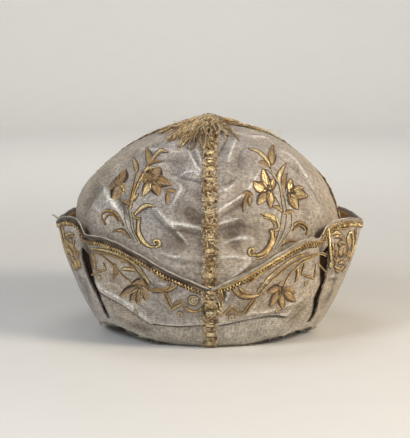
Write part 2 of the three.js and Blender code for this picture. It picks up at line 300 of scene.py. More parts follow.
# Fine creases of the crown's two front gores
CROWN_CREASES = table_of(
    Crease,
    (2.6, 1.5, ((128, 148), (150, 149.5), (173, 153), (190, 152))),
    (2.2, 1.9, ((188, 151), (193, 160), (197.5, 168.5), (203, 172))),
    (2, 1.6, ((195.4, 149), (199, 157), (203, 165))),
    (2.2, -1.6, ((191.5, 150), (196, 160), (200.5, 168))),
    (2.2, -1.9, ((166, 169), (182, 175), (197, 180.5), (204, 181))),
    (2.4, 1.7, ((169, 178), (179, 173), (190, 171), (200, 175))),
    (2.4, 1.5, ((172, 178), (181, 186), (175.5, 199), (169, 210))),
    (2.6, -1.3, ((178, 180), (187, 187), (180, 201), (174, 212))),
    (4.5, 2, ((100, 181), (107, 193), (115, 205), (126, 222), (130, 234))),
    (4, -1.8, ((109, 180), (116, 194), (125, 210), (134, 224))),
    (2.2, 1.6, ((144, 200), (158, 211), (169, 222), (183, 238), (190, 247))),
    (2.6, -1.5, ((150, 212), (160, 221), (172, 233), (184, 246))),
    (2.4, 1.8, ((167, 223), (181, 224.5), (199, 228), (206, 232))),
    (3, -1.9, ((170, 229), (184, 231.5), (200, 236))),
    (2, 1.2, ((150, 250), (170, 255.5), (188, 258), (204, 258))),
    (2.4, -1, ((160, 258), (180, 263), (204, 264))),
    (3.2, -2.6, ((278, 152), (289, 160), (301, 172), (314, 189), (322, 206))),
    (3, 1.6, ((283, 150), (296, 160), (309, 174), (320, 190))),
    (2.6, 1.6, ((230, 133), (247, 135.6), (262, 137.5), (270, 141))),
    (2.2, 2, ((216, 213), (226, 206), (238, 198), (247, 191), (254, 181), (259, 172))),
    (2.8, -2, ((219, 219), (230, 210), (242, 202), (250, 196))),
    (2.4, 1.5, ((218, 192), (228, 189), (236, 183))),
    (2.6, -1.4, ((217, 185), (229, 182), (240, 174))),
    (3.6, -1.7, ((217, 231), (228, 227), (243, 226), (258, 230))),
    (2.6, 1.5, ((217, 225), (229, 220.5), (243, 217))),
    (3.4, 1.2, ((219, 246), (232, 240), (247, 238), (257, 242))),
    (2.4, 1.8, ((227, 282), (237, 273), (250, 263))),
    (2.6, -1.3, ((233, 283), (244, 273), (256, 266))),
    (2, 1.2, ((218, 257.5), (236, 257), (256, 259))),
    (3, -1.8, ((228, 136), (223, 146), (218, 156))),
    (2.6, 1.4, ((236, 140), (231, 152), (228, 163))),
    (3.2, -1.2, ((246, 146), (239, 157), (240, 170))),
    (2.4, -1.2, ((150, 166), (170, 160), (184, 162))),
    (3, 1.2, ((92, 205), (104, 214), (112, 226))),
)

# Fine creases of the cuff's front
CUFF_CREASES = table_of(
    Crease,
    (2.4, 2.4, ((97, 281), (104.1, 288), (118.2, 296.3), (131.4, 304.6), (143, 314.6), (151.3, 322))),
    (4.5, 1.4, ((99, 286), (106, 292.4), (118.2, 300), (131.4, 308.6), (143, 317.8), (153, 326))),
    (2, -2.6, ((100, 290), (108.2, 297.1), (118.2, 303.8), (131.4, 312.9), (143, 321.2), (156, 329))),
    (2.6, -1, ((112, 287), (128, 297), (143, 308), (154, 317))),
    (2.2, 1.4, ((252, 312), (266, 311), (284, 306.5), (300, 299))),
    (2.6, -1.4, ((250, 316), (266, 315), (284, 311), (302, 303))),
    (2.2, 1.3, ((258, 280), (268, 283), (274, 287))),
    (2.4, -1.2, ((262, 297), (259, 305), (252, 310))),
    (2.2, 1.2, ((104, 284), (112, 283), (121, 287))),
    (2.2, -1.3, ((120, 262), (128, 262.6), (136, 266))),
    (2, 1.3, ((156, 283), (163, 284), (168, 289))),
    (2.4, -1.4, ((150, 282), (156, 289), (158, 297))),
    (1.8, -1.8, ((221, 286), (224, 294), (223, 304))),
    (2.4, 1.2, ((229, 287), (227, 297), (222, 309))),
    (3, 1.2, ((303, 296), (291, 309), (276, 321), (262, 330))),
    (3, -1, ((311, 299), (298, 313), (283, 325))),
    (2.6, 1, ((168, 305), (178, 296), (190, 291))),
    (2.6, -0.9, ((150, 299), (162, 305), (172, 316))),
    (3, 0.9, ((244, 318), (256, 306), (268, 300))),
    (2.6, 0.9, ((176, 330), (188, 333), (200, 333))),
    (1.8, -1.7, ((328, 281), (333, 279.8), (338, 280))),
    (2.2, 1.2, ((328, 277), (333, 275.8), (338.6, 276))),
    (1.8, -1.5, ((79.6, 277.4), (82, 279), (86, 281.4))),
)

# Dark patches of the crown: stains, and painted shade where the crumpled silk falls into shade
CROWN_STAINS_AND_SHADE = table_of(
    StainAndShade,
    (16, 0.72, (190, 203)),
    (7, 0.5, (195, 216)),
    (16, 0.6, (185, 237)),
    (9, 0.5, (199, 241)),
    (16, 0.85, (238, 232)),
    (9, 0.5, (226, 226)),
    (11, 0.35, (252, 239)),
    (15, 0.5, (94, 190)),
    (10, 0.45, (104, 172)),
    (9, 0.5, (178, 161)),
    (14, 0.6, (233, 161)),
    (9, 0.4, (226, 180)),
    (12, 0.3, (163, 232)),
    (10, 0.35, (206, 263)),
    (9, 0.5, (214, 146)),
    (7, 0.45, (301, 168)),
    (12, 0.3, (88, 212)),
)
# Dark patches of the cuff: stains, and painted shade in creases and beside the slits
CUFF_STAINS_AND_SHADE = table_of(
    StainAndShade,
    (7, 0.9, (225, 297)),
    (10, 0.45, (186, 302)),
    (9, 0.4, (160, 313)),
    (9, 0.5, (136, 330)),
    (7, 0.7, (86, 288)),
    (6, 0.6, (91, 302)),
    (5, 0.6, (97, 315)),
    (7, 0.9, (90, 251)),
    (5, 0.8, (93, 263)),
    (5, 1, (335, 281)),
    (9, 0.5, (250, 304)),
    (9, 0.5, (262, 283)),
    (8, 0.5, (296, 312)),
    (8, 0.5, (156, 283)),
    (8, 0.45, (112, 280)),
    (9, 0.4, (318, 296)),
    (9, 0.45, (345, 268)),
    (8, 0.45, (190, 340)),
    (8, 0.6, (69, 240)),
    (13, 0.45, (337, 262)),
    (10, 0.4, (326, 300)),
    (4, 0.9, (79.5, 278.5)),
    (4, 0.8, (84, 292)),
    (5, 0.7, (119, 319)),
    (6, 0.7, (132, 324)),
    (5, 0.6, (146, 330)),
    (4, 0.7, (161, 336)),
    (4, 0.5, (171, 332)),
    (4, 0.6, (181, 336)),
    (5, 0.5, (274, 335.5)),
    (5, 0.5, (331, 293)),
)

# Where the hem cloth is tucked under the silk, left and right of the front braid
TUCK_LEFT = ((148, 322.4), (158, 324.2), (176, 325.8), (190, 325.6), (204, 325))
TUCK_RIGHT = ((217, 325.2), (229, 323.4), (240, 320.8), (263, 316.8), (278, 315.6), (290, 316))

SLIT_LEFT = table_of(
    SlitPlace,
    ((84, 245), 11),
    ((85.4, 255), 14),
    ((87.6, 265), 14),
    ((90, 273), 12),
    ((93, 280.5), 11),
    ((97, 288), 11),
    ((101, 296.2), 9.4),
    ((103.2, 304.5), 8),
    ((106.4, 312.8), 7),
    ((109.3, 320), 4.4),
)
SLIT_RIGHT = table_of(
    SlitPlace,
    ((323.4, 244), 6.4),
    ((323.4, 250), 9.6),
    ((324, 258), 11.8),
    ((323.8, 266), 11.2),
    ((323, 274.6), 9.4),
    ((322.4, 283), 7.2),
    ((318.7, 291.2), 8.4),
    ((315.6, 297.8), 8.6),
    ((315, 307.8), 7.4),
    ((312.9, 314.4), 7.4),
    ((307.6, 324), 6),
)

# Embroidery of the crown's right gore, in pixels: buds and leaves, flowers, sprigs and scrolls
# Leaves with tarnish below zero are made pale: on these leaves that paints a highlight
CROWN_RIGHT_LEAVES = table_of(
    Leaf,
    (8.2, 0.18, ((271.9, 165.4), (272.2, 155), (273.2, 144.6))),
    (4.8, -0.2, ((270.2, 169), (266.6, 160.6), (260.5, 154.6), (254, 152.4), (247.6, 151.4))),
    (4.6, 0.85, ((268.6, 167.6), (263.5, 164.6), (258.2, 164.2))),
    (8.6, 0.16, ((267.8, 188.6), (265, 179), (262, 170.2)), 0.85),
    (10, 0.12, ((268, 190), (260, 186.4), (252.7, 182.6)), 0.85),
    (7.8, 0.14, ((269.2, 190.4), (272, 184.4), (273.6, 178.4)), 0.85),
    (9.8, 0.24, ((268, 190.4), (262.6, 197.6), (258.5, 203.8)), 0.85),
    (7.4, 0.16, ((269.2, 190.6), (270.4, 200), (270.4, 208.4)), 0.85),
    (5.2, -0.2, ((280, 186), (279.2, 177), (281.6, 170.4), (286.4, 163))),
    (4, 0.55, ((283.2, 197), (283.8, 184), (287.3, 172.6))),
    (7.4, 0.12, ((290.6, 193), (290.1, 185), (291.4, 178)), 0.85),
    (11.6, 0.02, ((290.6, 193), (299, 194.4), (307.4, 196.4)), 0.85),
    (6.4, 0.08, ((291, 192.4), (298, 188.8), (303.4, 188.2)), 0.85),
    (10.8, 0.04, ((290.2, 193.4), (293.6, 201.5), (297.4, 209.6)), 0.85),
    (3.6, 0.85, ((253.4, 193), (247.5, 192.4), (241.6, 193.6))),
    (4, 0.8, ((246.5, 194.5), (245.3, 202), (244.2, 210.6))),
    (3.8, 0.06, ((250, 195), (250.7, 199), (250.4, 204))),
    (3.6, 0.3, ((281.8, 211.8), (277.4, 207.4), (272.4, 207.2))),
    (4.2, 0.35, ((293.6, 210.4), (287.6, 212.4), (281.4, 212.8))),
    (3.6, 0.5, ((281, 245.4), (287.5, 240.6), (295.4, 241))),
    (5, -0.25, ((277.8, 222), (271.4, 216.6), (261.2, 214))),
    (6.2, 0.15, ((271.4, 229), (272.6, 237), (270.4, 245), (265.6, 251.2), (258.4, 254.6), (251, 255)), 0.8),
)
CROWN_RIGHT_CORDS = table_of(
    Cord,
    (1, -0.55, ((271, 169.5), (275, 178.4), (279.6, 186.5), (281.4, 197), (282.8, 206), (284, 213))),
    (0.9, -0.6, ((262.2, 170.2), (267, 170.8), (272.8, 175.6), (278, 181.6), (283.2, 190.4), (287.4, 211))),
    (0.9, -0.5, ((270, 190), (275, 197), (279.6, 204), (281.6, 211.5))),
    (1.3, 0.1, ((261.6, 214), (271.4, 215.2), (277.2, 220.4), (278.2, 229), (272.4, 230.2))),
    (
        1.4,
        0.2,
        (
            (255.8, 255),
            (250.6, 255.2),
            (248.8, 251.6),
            (251.4, 248.4),
            (254.2, 250.6),
            (252.2, 252.6),
        ),
    ),
    (1, 0.3, ((263.5, 217.6), (270, 219), (274, 223.4), (274.6, 226.8))),
    (1.1, 0.2, ((275.8, 231.4), (274.4, 239.4), (270.6, 248.4), (264.6, 256), (256, 258.6))),
    (0.85, -0.7, ((282.4, 213.6), (280.6, 226), (278, 237), (272.6, 248))),
    (0.85, -0.65, ((287, 213.4), (285.4, 226.6), (281.4, 238.6), (275, 248.6))),
    (0.85, -0.6, ((291.6, 212.4), (291.6, 226.6), (285, 239), (277.4, 247.6))),
    (1.5, 0.35, ((291.6, 228), (295, 224), (299.4, 222.3), (304.8, 224.4), (307.8, 229), (306.2, 234.6))),
    (1, 0.5, ((292.4, 231), (296, 227), (299.6, 225.6), (303, 227.4), (304.8, 230.6))),
)

# Embroidery of the crown's left gore, in pixels: its petals have tarnished brown
# Leaves with tarnish below zero are made pale: on these leaves that paints a highlight
CROWN_LEFT_LEAVES = table_of(
    Leaf,
    (8, 0.14, ((150.6, 166), (149.4, 157), (146.8, 148.4))),
    (4.6, -0.25, ((150, 166.4), (155, 157.6), (161.6, 153.2), (168.6, 154.6))),
    (4.2, 0.6, ((146, 166.6), (154, 163.2), (163.2, 162.6))),
    (12.7, 0.66, ((152.4, 181), (146.5, 177.6), (140.6, 174.4)), 0.85),
    (12.5, 0.72, ((153, 181), (156.8, 174.8), (161, 168.8)), 0.85),
    (11.5, 0.62, ((153, 181.6), (162, 182), (170.8, 184.4)), 0.85),
    (11.3, 0.68, ((152.6, 182), (156, 189), (158.8, 195.8)), 0.85),
    (8.9, 0.08, ((151.4, 183), (147.4, 189), (143.4, 196.2)), 0.65),
    (3.8, -0.45, ((143.2, 171.8), (150, 169.4), (157.4, 169.6)), 0.4),
    (8.4, 0.8, ((121.6, 183), (124.6, 176.6), (126.2, 169.8)), 0.75),
    (12.7, 1.12, ((121.8, 182.6), (114.8, 184.6), (107.6, 187.4)), 0.85),
    (11.3, 1, ((120.8, 183.4), (117.8, 191.6), (114.2, 199.6)), 0.85),
    (7.9, 1.15, ((119, 183.4), (122.4, 187.6), (125, 192.4)), 0.85),
    (5, 0.85, ((119.4, 181.6), (113.6, 179.6), (109.2, 180.4))),
    (5.2, 0.06, ((137.2, 173), (136, 165), (132.4, 156.6))),
    (4.2, -0.3, ((130.4, 201.8), (134.6, 198.6), (139.2, 194.2))),
    (3.8, 0.75, ((176, 191.4), (170.6, 190.2), (165.4, 190.6))),
    (4.8, 0.5, ((168, 192.4), (167.8, 198), (166.6, 203.4))),
    (4.2, 0.75, ((120.8, 200.6), (126.6, 203), (132.8, 207.4))),
    (4.8, -0.2, ((134.2, 216), (141, 208.8), (148, 206), (156.4, 207.6))),
    (3.8, 0.45, ((130.8, 238.4), (122.6, 230.4), (113.4, 231.8))),
    (
        5.2,
        -0.15,
        (
            (139.4, 217.4),
            (138.6, 227.6),
            (140.2, 236),
            (144.6, 242.6),
            (151, 246.8),
            (158.6, 246),
        ),
        0.8,
    ),
)
CROWN_LEFT_CORDS = table_of(
    Cord,
    (1.1, 0.25, ((148.6, 166.8), (144, 176), (138, 187), (133.4, 199), (130.6, 210))),
    (1, 0.55, ((136.4, 172.6), (133.6, 183), (130.4, 196), (127.6, 208))),
    (1, 0.3, ((141, 173), (138, 181), (134.4, 190), (131, 202))),
    (1.3, 0.35, ((133.2, 212.4), (134, 217.4), (140.8, 218.6))),
    (
        1.4,
        0.1,
        (
            (155.4, 247.4),
            (160.2, 244.6),
            (158.8, 240.4),
            (154.8, 240.6),
            (154.4, 243.6),
            (157, 243.8),
        ),
    ),
    (0.8, -0.6, ((122.4, 209), (125, 218), (128, 228), (133, 239))),
    (0.8, -0.7, ((126.6, 208.4), (129.4, 220), (132, 230), (137.6, 242))),
    (0.8, -0.6, ((130.6, 211), (132.4, 222), (134.6, 232), (141, 244.6))),
    (1.5, 0.5, ((107.4, 224.4), (104, 218), (108, 212), (115.6, 212.6), (121, 219.6), (123.4, 226))),
    (1, 0.6, ((107.8, 220.4), (110, 215.6), (115, 215.8), (118.6, 221.4))),
)

# Embroidery of the cuff's right half and of its lobe beyond the slit, in pixels
CUFF_RIGHT_LEAVES = table_of(
    Leaf,
    (4.6, 0.35, ((231.4, 286.8), (236.8, 293.4), (245, 296.8), (255, 296.2), (263.4, 293))),
    (3.8, 0.3, ((238.4, 287.2), (244, 292.2), (251.4, 293.6))),
    (10.5, 0.34, ((281.6, 289.6), (274.6, 289.4), (267.6, 291.6)), 0.7),
    (8.1, 0.28, ((280.2, 291), (274.6, 298), (269.8, 306.4)), 0.7),
    (7.8, 0.26, ((281.6, 291), (281.4, 300), (282, 308.8)), 0.7),
    (8.8, 0.32, ((283.2, 290.6), (288.6, 296), (294.6, 301.2)), 0.7),
    (6.3, 0.34, ((283, 288.8), (289, 289.6), (294.2, 293)), 0.7),
    (3.6, 0.35, ((297.4, 267), (297.6, 274), (294.6, 282))),
    (8, 1.45, ((218.6, 289), (219.4, 299), (219.8, 311)), 0.8),
    (3.8, 0.1, ((329.4, 236.6), (333, 233.6), (337.6, 232.8), (341.8, 235), (345.4, 239.4))),
    (2.6, 0.95, ((333.6, 238.2), (338.4, 236.8), (342.4, 239), (345.2, 241.8))),
    (4.4, 0.1, ((349, 249), (349.4, 241), (349.2, 234.6)), 0.5),
    (3.8, 0.15, ((345.6, 243), (342, 241.6), (338.8, 242.2))),
    (3, 1.3, ((337.8, 243), (339.4, 245.6), (342, 247))),
    (4.8, 0.15, ((345.8, 246), (342, 246.6), (338.8, 249))),
    (5.4, 0.1, ((340.2, 256.4), (340.8, 252), (342.4, 247.6)), 0.55),
    (4.6, 0.4, ((345.2, 256), (345, 251), (345.6, 246.8)), 0.5),
    (4.2, 0.35, ((348.2, 257.4), (349, 253.6), (349.2, 249.6)), 0.5),
    (3.8, 0.05, ((334, 266), (337.2, 268), (340.4, 267.6))),
    (3.8, 0, ((338.8, 264), (341.8, 262.4), (344.4, 264))),
    (3.6, 0.05, ((339.8, 270.4), (342.2, 268), (344, 265.4))),
    (3.6, 0, ((330, 268), (330.6, 264), (331.4, 259.6))),
    (3.4, 0.3, ((333, 249), (332, 252), (333.4, 256))),
    (3.2, 0.5, ((336.4, 250.6), (335, 254), (335.6, 258))),
    (3.2, 0.35, ((335.2, 270.6), (337.8, 271.4), (339.8, 270))),
    (3.2, 0.25, ((336.6, 262), (338, 259.6), (341, 258.4))),
    (3.2, 0.3, ((343, 261), (345.4, 259), (347.4, 259.4))),
)
CUFF_RIGHT_CORDS = table_of(
    Cord,
    (1.3, 0.3, ((257.6, 291), (262.5, 283.6), (271.4, 274.6), (282.6, 265.6), (296, 257), (309.5, 253.4))),
    (1.2, 0.35, ((260.8, 293), (266.6, 285.6), (275.6, 277), (286, 268.6), (298, 261), (312.6, 255))),
    (1, 0.45, ((248, 284), (258, 276), (270, 267), (283, 258.4), (298, 251))),
    (1.1, 0.4, ((283.6, 286), (286.4, 280), (291, 273), (299, 265), (308, 258.4), (318, 254))),
    (1, 0.45, ((280.6, 287.6), (279, 284), (281.6, 281.4))),
    (1.1, 0.4, ((304.4, 262.6), (301.6, 274))),
    (1.1, 0.4, ((301.6, 274), (313.8, 278.6))),
    (1.1, 0.4, ((313.8, 278.6), (316, 263.6))),
    (1, 0.4, ((223, 314.4), (231.8, 305.6))),
    (1, 0.4, ((231.8, 305.6), (242.6, 313.4))),
    (1, 0.4, ((242.6, 313.4), (253.6, 298.4))),
    (0.9, 0.45, ((226.4, 315.4), (231.6, 310.2))),
    (0.9, 0.45, ((231.6, 310.2), (238.6, 314.8))),
    (0.9, 0.4, ((245.6, 313.4), (256, 299))),
    (0.5, 0.2, ((312, 255), (320, 252.4), (327.6, 254.8))),
    (0.5, 0.1, ((310, 258.4), (319, 254), (326, 256.4))),
    (0.9, 0.4, ((317.4, 262.8), (321, 267), (325.4, 271.8))),
    (1.2, 0.05, ((209.6, 299), (213, 305), (217.6, 310.6), (222.6, 314.2))),
    (0.8, 0.1, ((214, 293), (218, 300), (220.8, 311))),
    (0.8, 0.5, ((215, 290.4), (221.4, 293), (222.6, 299))),
    (1.7, 0, ((327.8, 228), (328.6, 235), (329, 243), (329.6, 252), (330.6, 261), (331.4, 268))),
    (
        1.5,
        0,
        (
            (347.2, 243),
            (347.4, 236.4),
            (349.4, 232.2),
            (351.8, 234),
            (352.2, 242),
            (351.4, 250),
            (349.6, 256),
        ),
    ),
    (1.3, 0.2, ((356.6, 228.4), (355.6, 237), (354, 245.4), (351.6, 253.6), (348.4, 261.4))),
    (1.1, 0.8, ((354.2, 229.6), (354, 237), (352.8, 244))),
    (1.1, 0.3, ((331.6, 243), (332.4, 247), (335, 249.6))),
    (1.1, 0.3, ((333, 258), (335.6, 261.4), (334.6, 265))),
    (1.1, 0.2, ((346, 264.6), (344.6, 268.4), (342.4, 271.4))),
    (1, 0.4, ((332, 229.6), (340, 229), (349, 228.6))),
)
CUFF_RIGHT_SPANGLES = table_of(
    Spangle,
    (1.9, (231.4, 317.4)),
    (1.6, (277, 309.6)),
    (1.6, (306, 283)),
    (1.4, (335, 245)),
    (1.4, (337, 258.4)),
)

# Embroidery of the cuff's left half and of its lobe, in pixels
CUFF_LEFT_LEAVES = table_of(
    Leaf,
    (8.5, 0.9, ((147.6, 286.6), (140, 281.6), (131, 285.4)), 0.7),
    (7.6, 1.2, ((138, 286), (128.6, 290), (120.4, 296)), 0.7),
    (6.8, 1.25, ((139, 288), (133.8, 295), (130.6, 301.4)), 0.7),
    (6.6, 1.15, ((140.6, 288.6), (138.8, 297), (137, 304)), 0.7),
    (7.2, 1, ((143, 288), (145.2, 294.4), (146.6, 300)), 0.7),
    (3.8, 0.04, ((121.6, 269.2), (129, 269), (136, 271))),
    (4.4, 0.45, ((147.4, 288), (157, 291), (166, 288.8), (170.4, 283.6))),
    (3.4, 0.4, ((163.6, 291.2), (171, 289.6), (177.8, 285.2))),
    (3.6, 0.55, ((114.6, 263), (115.8, 271), (113.8, 279))),
    (3.4, 0.75, ((91.4, 252), (93.4, 258), (97, 263.6))),
    (3.2, 0.8, ((93, 260), (95, 266), (97, 270.6))),
    (4.4, 0.15, ((66.6, 248), (70, 251), (73.6, 256.4))),
    (4.4, 0.25, ((69.6, 255), (72, 258), (75, 262.4))),
    (4.2, 0.35, ((76.6, 258), (79, 263), (81, 268.6))),
    (3.4, 0.4, ((78, 250.6), (78.6, 254), (78.6, 258))),
    (4.2, 0.2, ((67.4, 243), (71, 244.6), (73.6, 248.4))),
    (3.4, 0.3, ((72.4, 263), (74.4, 267), (77.6, 270))),
    (4.2, 0.25, ((64.8, 238.4), (66.8, 243.4), (68, 249.6))),
    (4.2, 0.1, ((74, 259.6), (76.4, 264), (77.8, 269))),
    (3.6, 0.35, ((70.4, 246), (74, 248.8), (76.4, 253))),
    (3.4, 0.1, ((65.6, 236.8), (69.4, 233.6), (75, 234.6))),
    (2.6, 0.95, ((67.4, 238.4), (70.6, 236.4), (75, 237.4))),
)
CUFF_LEFT_CORDS = table_of(
    Cord,
    (1.4, 0.25, ((92, 248.4), (106, 250.4), (121, 255), (136, 264.4), (144, 274), (150, 284.6))),
    (1.2, 0.55, ((95, 252), (108, 254.4), (121, 259), (132.6, 267.2), (140.4, 276.4), (146, 285.6))),
    (1, 0.7, ((104, 246.6), (120, 250.6), (137, 260), (152, 271), (166, 281.6))),
    (1.1, 0.5, ((99, 254), (108, 260), (116, 268), (124, 276), (133, 283.4))),
    (1.1, 0.45, ((92.6, 274.6), (99, 271.4), (106.4, 269.6))),
    (1.1, 0.45, ((106.4, 269.6), (103.4, 262.6))),
    (1.1, 0.4, ((162.6, 292), (171.4, 309.4))),
    (1.1, 0.4, ((171.4, 309.4), (184.6, 302))),
    (0.9, 0.45, ((166.2, 292.6), (172.6, 304.8))),
    (0.9, 0.45, ((172.6, 304.8), (181.4, 299.4))),
    (1.3, 0.45, ((184.6, 306), (188, 309.6), (194, 311.6), (199, 310.2), (203, 306.6))),
    (1.3, 0.3, ((60.4, 226.6), (62, 233), (63.8, 240.4), (67, 249), (70.2, 258))),
    (1.1, 0.45, ((63.4, 227), (64.4, 233.4), (66, 240), (69, 247))),
    (1.1, 0.4, ((75, 240.4), (74.2, 246.4), (77, 254.6))),
    (1.1, 0.4, ((71, 258.6), (74, 264), (78.6, 269))),
)
CUFF_LEFT_SPANGLES = table_of(
    Spangle,
    (3.6, (193.5, 300)),
    (1.9, (180.2, 313.8)),
    (1.9, (201.4, 318.4)),
    (1.7, (99.8, 277.4)),
    (1.5, (137.4, 310.4)),
    (1.4, (71.6, 240.4)),
)


def spline(points, share):
    """Points at shares 0 to 1 of a smooth curve through a table of points."""
    points = np.asarray(points, float)
    last = len(points) - 1
    place = np.clip(np.asarray(share, float), 0, 1) * last
    row = np.minimum(place.astype(int), last - 1)
    t = (place - row)[..., None]
    before = points[np.maximum(row - 1, 0)]
    start = points[row]
    end = points[row + 1]
    after = points[np.minimum(row + 2, last)]
    leave = (end - before) / 2
    arrive = (after - start) / 2
    bend = -3 * start + 3 * end - 2 * leave - arrive
    return (2 * start - 2 * end + leave + arrive) * t**3 + bend * t**2 + leave * t + start


def smoothstep(value, low, high):
    share = np.clip((value - low) / (high - low), 0, 1)
    return share * share * (3 - 2 * share)


def step_mm(value, low, high):
    """A smooth step between two places in millimetres."""
    return smoothstep(value, low * MM, high * MM)


def ring_angles(count):
    """Angles of the points of a closed ring."""
    return np.linspace(0, 2 * np.pi, count, endpoint=False)


def turn_from(start, azimuth):
    """Signed angle from one compass angle to another."""
    return np.mod(azimuth - start + 180, 360) - 180


def unit(vectors):
    return vectors / np.linalg.norm(vectors, axis=-1, keepdims=True)


def around(azimuth, radius, height):
    """Points at compass angles from the front, turning towards +X."""
    turn = np.radians(azimuth)
    height = np.broadcast_to(height, np.broadcast(turn, radius, height).shape)
    return np.stack([radius * np.sin(turn), -radius * DEPTH_RATIO * np.cos(turn), height], axis=-1)


def compass(points):
    """Compass angles of points, undoing the cap's front-to-back stretch."""
    return np.degrees(np.arctan2(points[..., 0], -points[..., 1] / DEPTH_RATIO))


def bulge(azimuth):
    return 1 + GORE_BULGE * np.sin(2 * np.radians(azimuth)) ** 2


# The crown's meridian from the rim to the top, in metres
MERIDIAN_SHARES = np.linspace(0, 1, 1501)
MERIDIAN_HEIGHT, MERIDIAN_RADIUS = (spline(CROWN_SECTIONS, MERIDIAN_SHARES) * MM).T
MERIDIAN_RISE = np.arctan2(MERIDIAN_HEIGHT - CROWN_EYE_HEIGHT * MM, MERIDIAN_RADIUS)
MERIDIAN_STEPS = np.hypot(np.diff(MERIDIAN_HEIGHT), np.diff(MERIDIAN_RADIUS))
MERIDIAN_LENGTH = np.concatenate(([0.0], np.cumsum(MERIDIAN_STEPS)))
MERIDIAN_AWAY = np.hypot(MERIDIAN_RADIUS, MERIDIAN_HEIGHT[-1] - MERIDIAN_HEIGHT)


def crown_radius(share):
    return np.interp(share, MERIDIAN_SHARES, MERIDIAN_RADIUS)


def crown_run(share):
    """Length along the meridian from the rim."""
    return np.interp(share, MERIDIAN_SHARES, MERIDIAN_LENGTH)


def share_at(height):
    """Share of the meridian at a height."""
    return np.interp(height, MERIDIAN_HEIGHT, MERIDIAN_SHARES)


def share_from_top(distance):
    """Share of the meridian at a distance from its top."""
    return np.interp(-distance, -MERIDIAN_AWAY, MERIDIAN_SHARES)


def edge_table(side):
    """Compass angle, height and lift of one side's cuff edge, from the front seam to the back seam."""
    rows = np.array([(getattr(place, side), place.height, place.lift) for place in CUFF_EDGE], float)
    share = np.linspace(0, 1, 1301)
    curve = spline(rows[:, :2], share)
    lift = np.interp(share * (len(rows) - 1), np.arange(len(rows)), rows[:, 2])
    return np.column_stack([curve, lift]) * (1, MM, MM)


EDGES = {side: edge_table(side) for side in SIDES}


def on_edge(azimuth, column):
    """A column of the edge table at compass angles on either side."""
    azimuth = turn_from(0, np.asarray(azimuth, float))
    left, right = (np.interp(abs(azimuth), table[:, 0], table[:, column]) for table in EDGES.values())
    return np.where(azimuth >= 0, right, left)


def edge_height(azimuth):
    return on_edge(azimuth, 1)


def edge_lift(azimuth):
    return on_edge(azimuth, 2)


def edge_course(side, margin):
    """Compass angles and heights along one side's cuff edge, from a margin in degrees off the seams."""
    table = EDGES[side]
    kept = table[(table[:, 0] > margin) & (table[:, 0] < 180 - margin)][::3]
    return SIDES[side] * kept[:, 0], kept[:, 1]


def seam_at(name, along):
    """Compass angle of a seam at shares of the meridian."""
    seam = SEAMS[name]
    return seam.foot + (seam.head - seam.foot) * smoothstep(along, *SEAM_BEND)


def rim_height(azimuth):
    lifted = 0.0
    for lift in RIM_LIFTS:
        share = np.minimum(abs(turn_from(lift.azimuth, azimuth)) / lift.reach, 1)
        lifted = lifted + lift.height * MM * np.cos(share * np.pi / 2) ** 2
    return lifted


def fold_depth(folds, azimuth, height, radius):
    """How far a table of folds pushes the cloth out or in."""
    depth = 0.0
    for fold in folds:
        aside = np.radians(turn_from(fold.azimuth, azimuth)) * radius / MM
        above = height / MM - fold.height
        lean = np.radians(fold.lean)
        across = aside * np.cos(lean) - above * np.sin(lean)
        along = aside * np.sin(lean) + above * np.cos(lean)
        depth = depth + fold.depth * np.exp(-((across / fold.width) ** 2) - (along / fold.run) ** 2)
    return depth * MM * smoothstep(radius / MM, FOLD_END_RADIUS, FOLD_FULL_RADIUS)


def ripple(points, size, seed, waves=9):
    """Soft seeded noise between about -1 and 1, with dents of the given size."""
    random = np.random.default_rng(seed)
    ways = unit(random.normal(size=(waves, 3)))
    pitch = random.uniform(0.7, 1.5, waves) * np.pi / size
    phase = random.uniform(0, 2 * np.pi, waves)
    bent = points + 0.35 * size * np.sin(points[..., [1, 2, 0]] * 2.1 / size + seed)
    return np.sin((bent @ ways.T) * pitch + phase).sum(-1) / np.sqrt(waves)


def crumple(points):
    """Small dents of soft satin: rounded pillows between sharper ridges."""
    dents = sum(height * (1 - abs(ripple(points, size * MM, seed))) for size, height, seed in DENTS)
    return (dents - DENT_LEVEL) * MM


def line_distance(points, line):
    """Distance of points from a polyline, and the share of its length that each is nearest to."""
    best = np.full(points.shape[:-1], np.inf)
    share = np.zeros(points.shape[:-1])
    pieces = len(line) - 1
    for i in range(pieces):
        start = line[i]
        way = line[i + 1] - start
        t = np.clip(((points - start) @ way) / (way @ way), 0, 1)
        apart = np.linalg.norm(points - start - t[..., None] * way, axis=-1)
        nearer = apart < best
        best = np.where(nearer, apart, best)
        share = np.where(nearer, (i + t) / pieces, share)
    return best, share


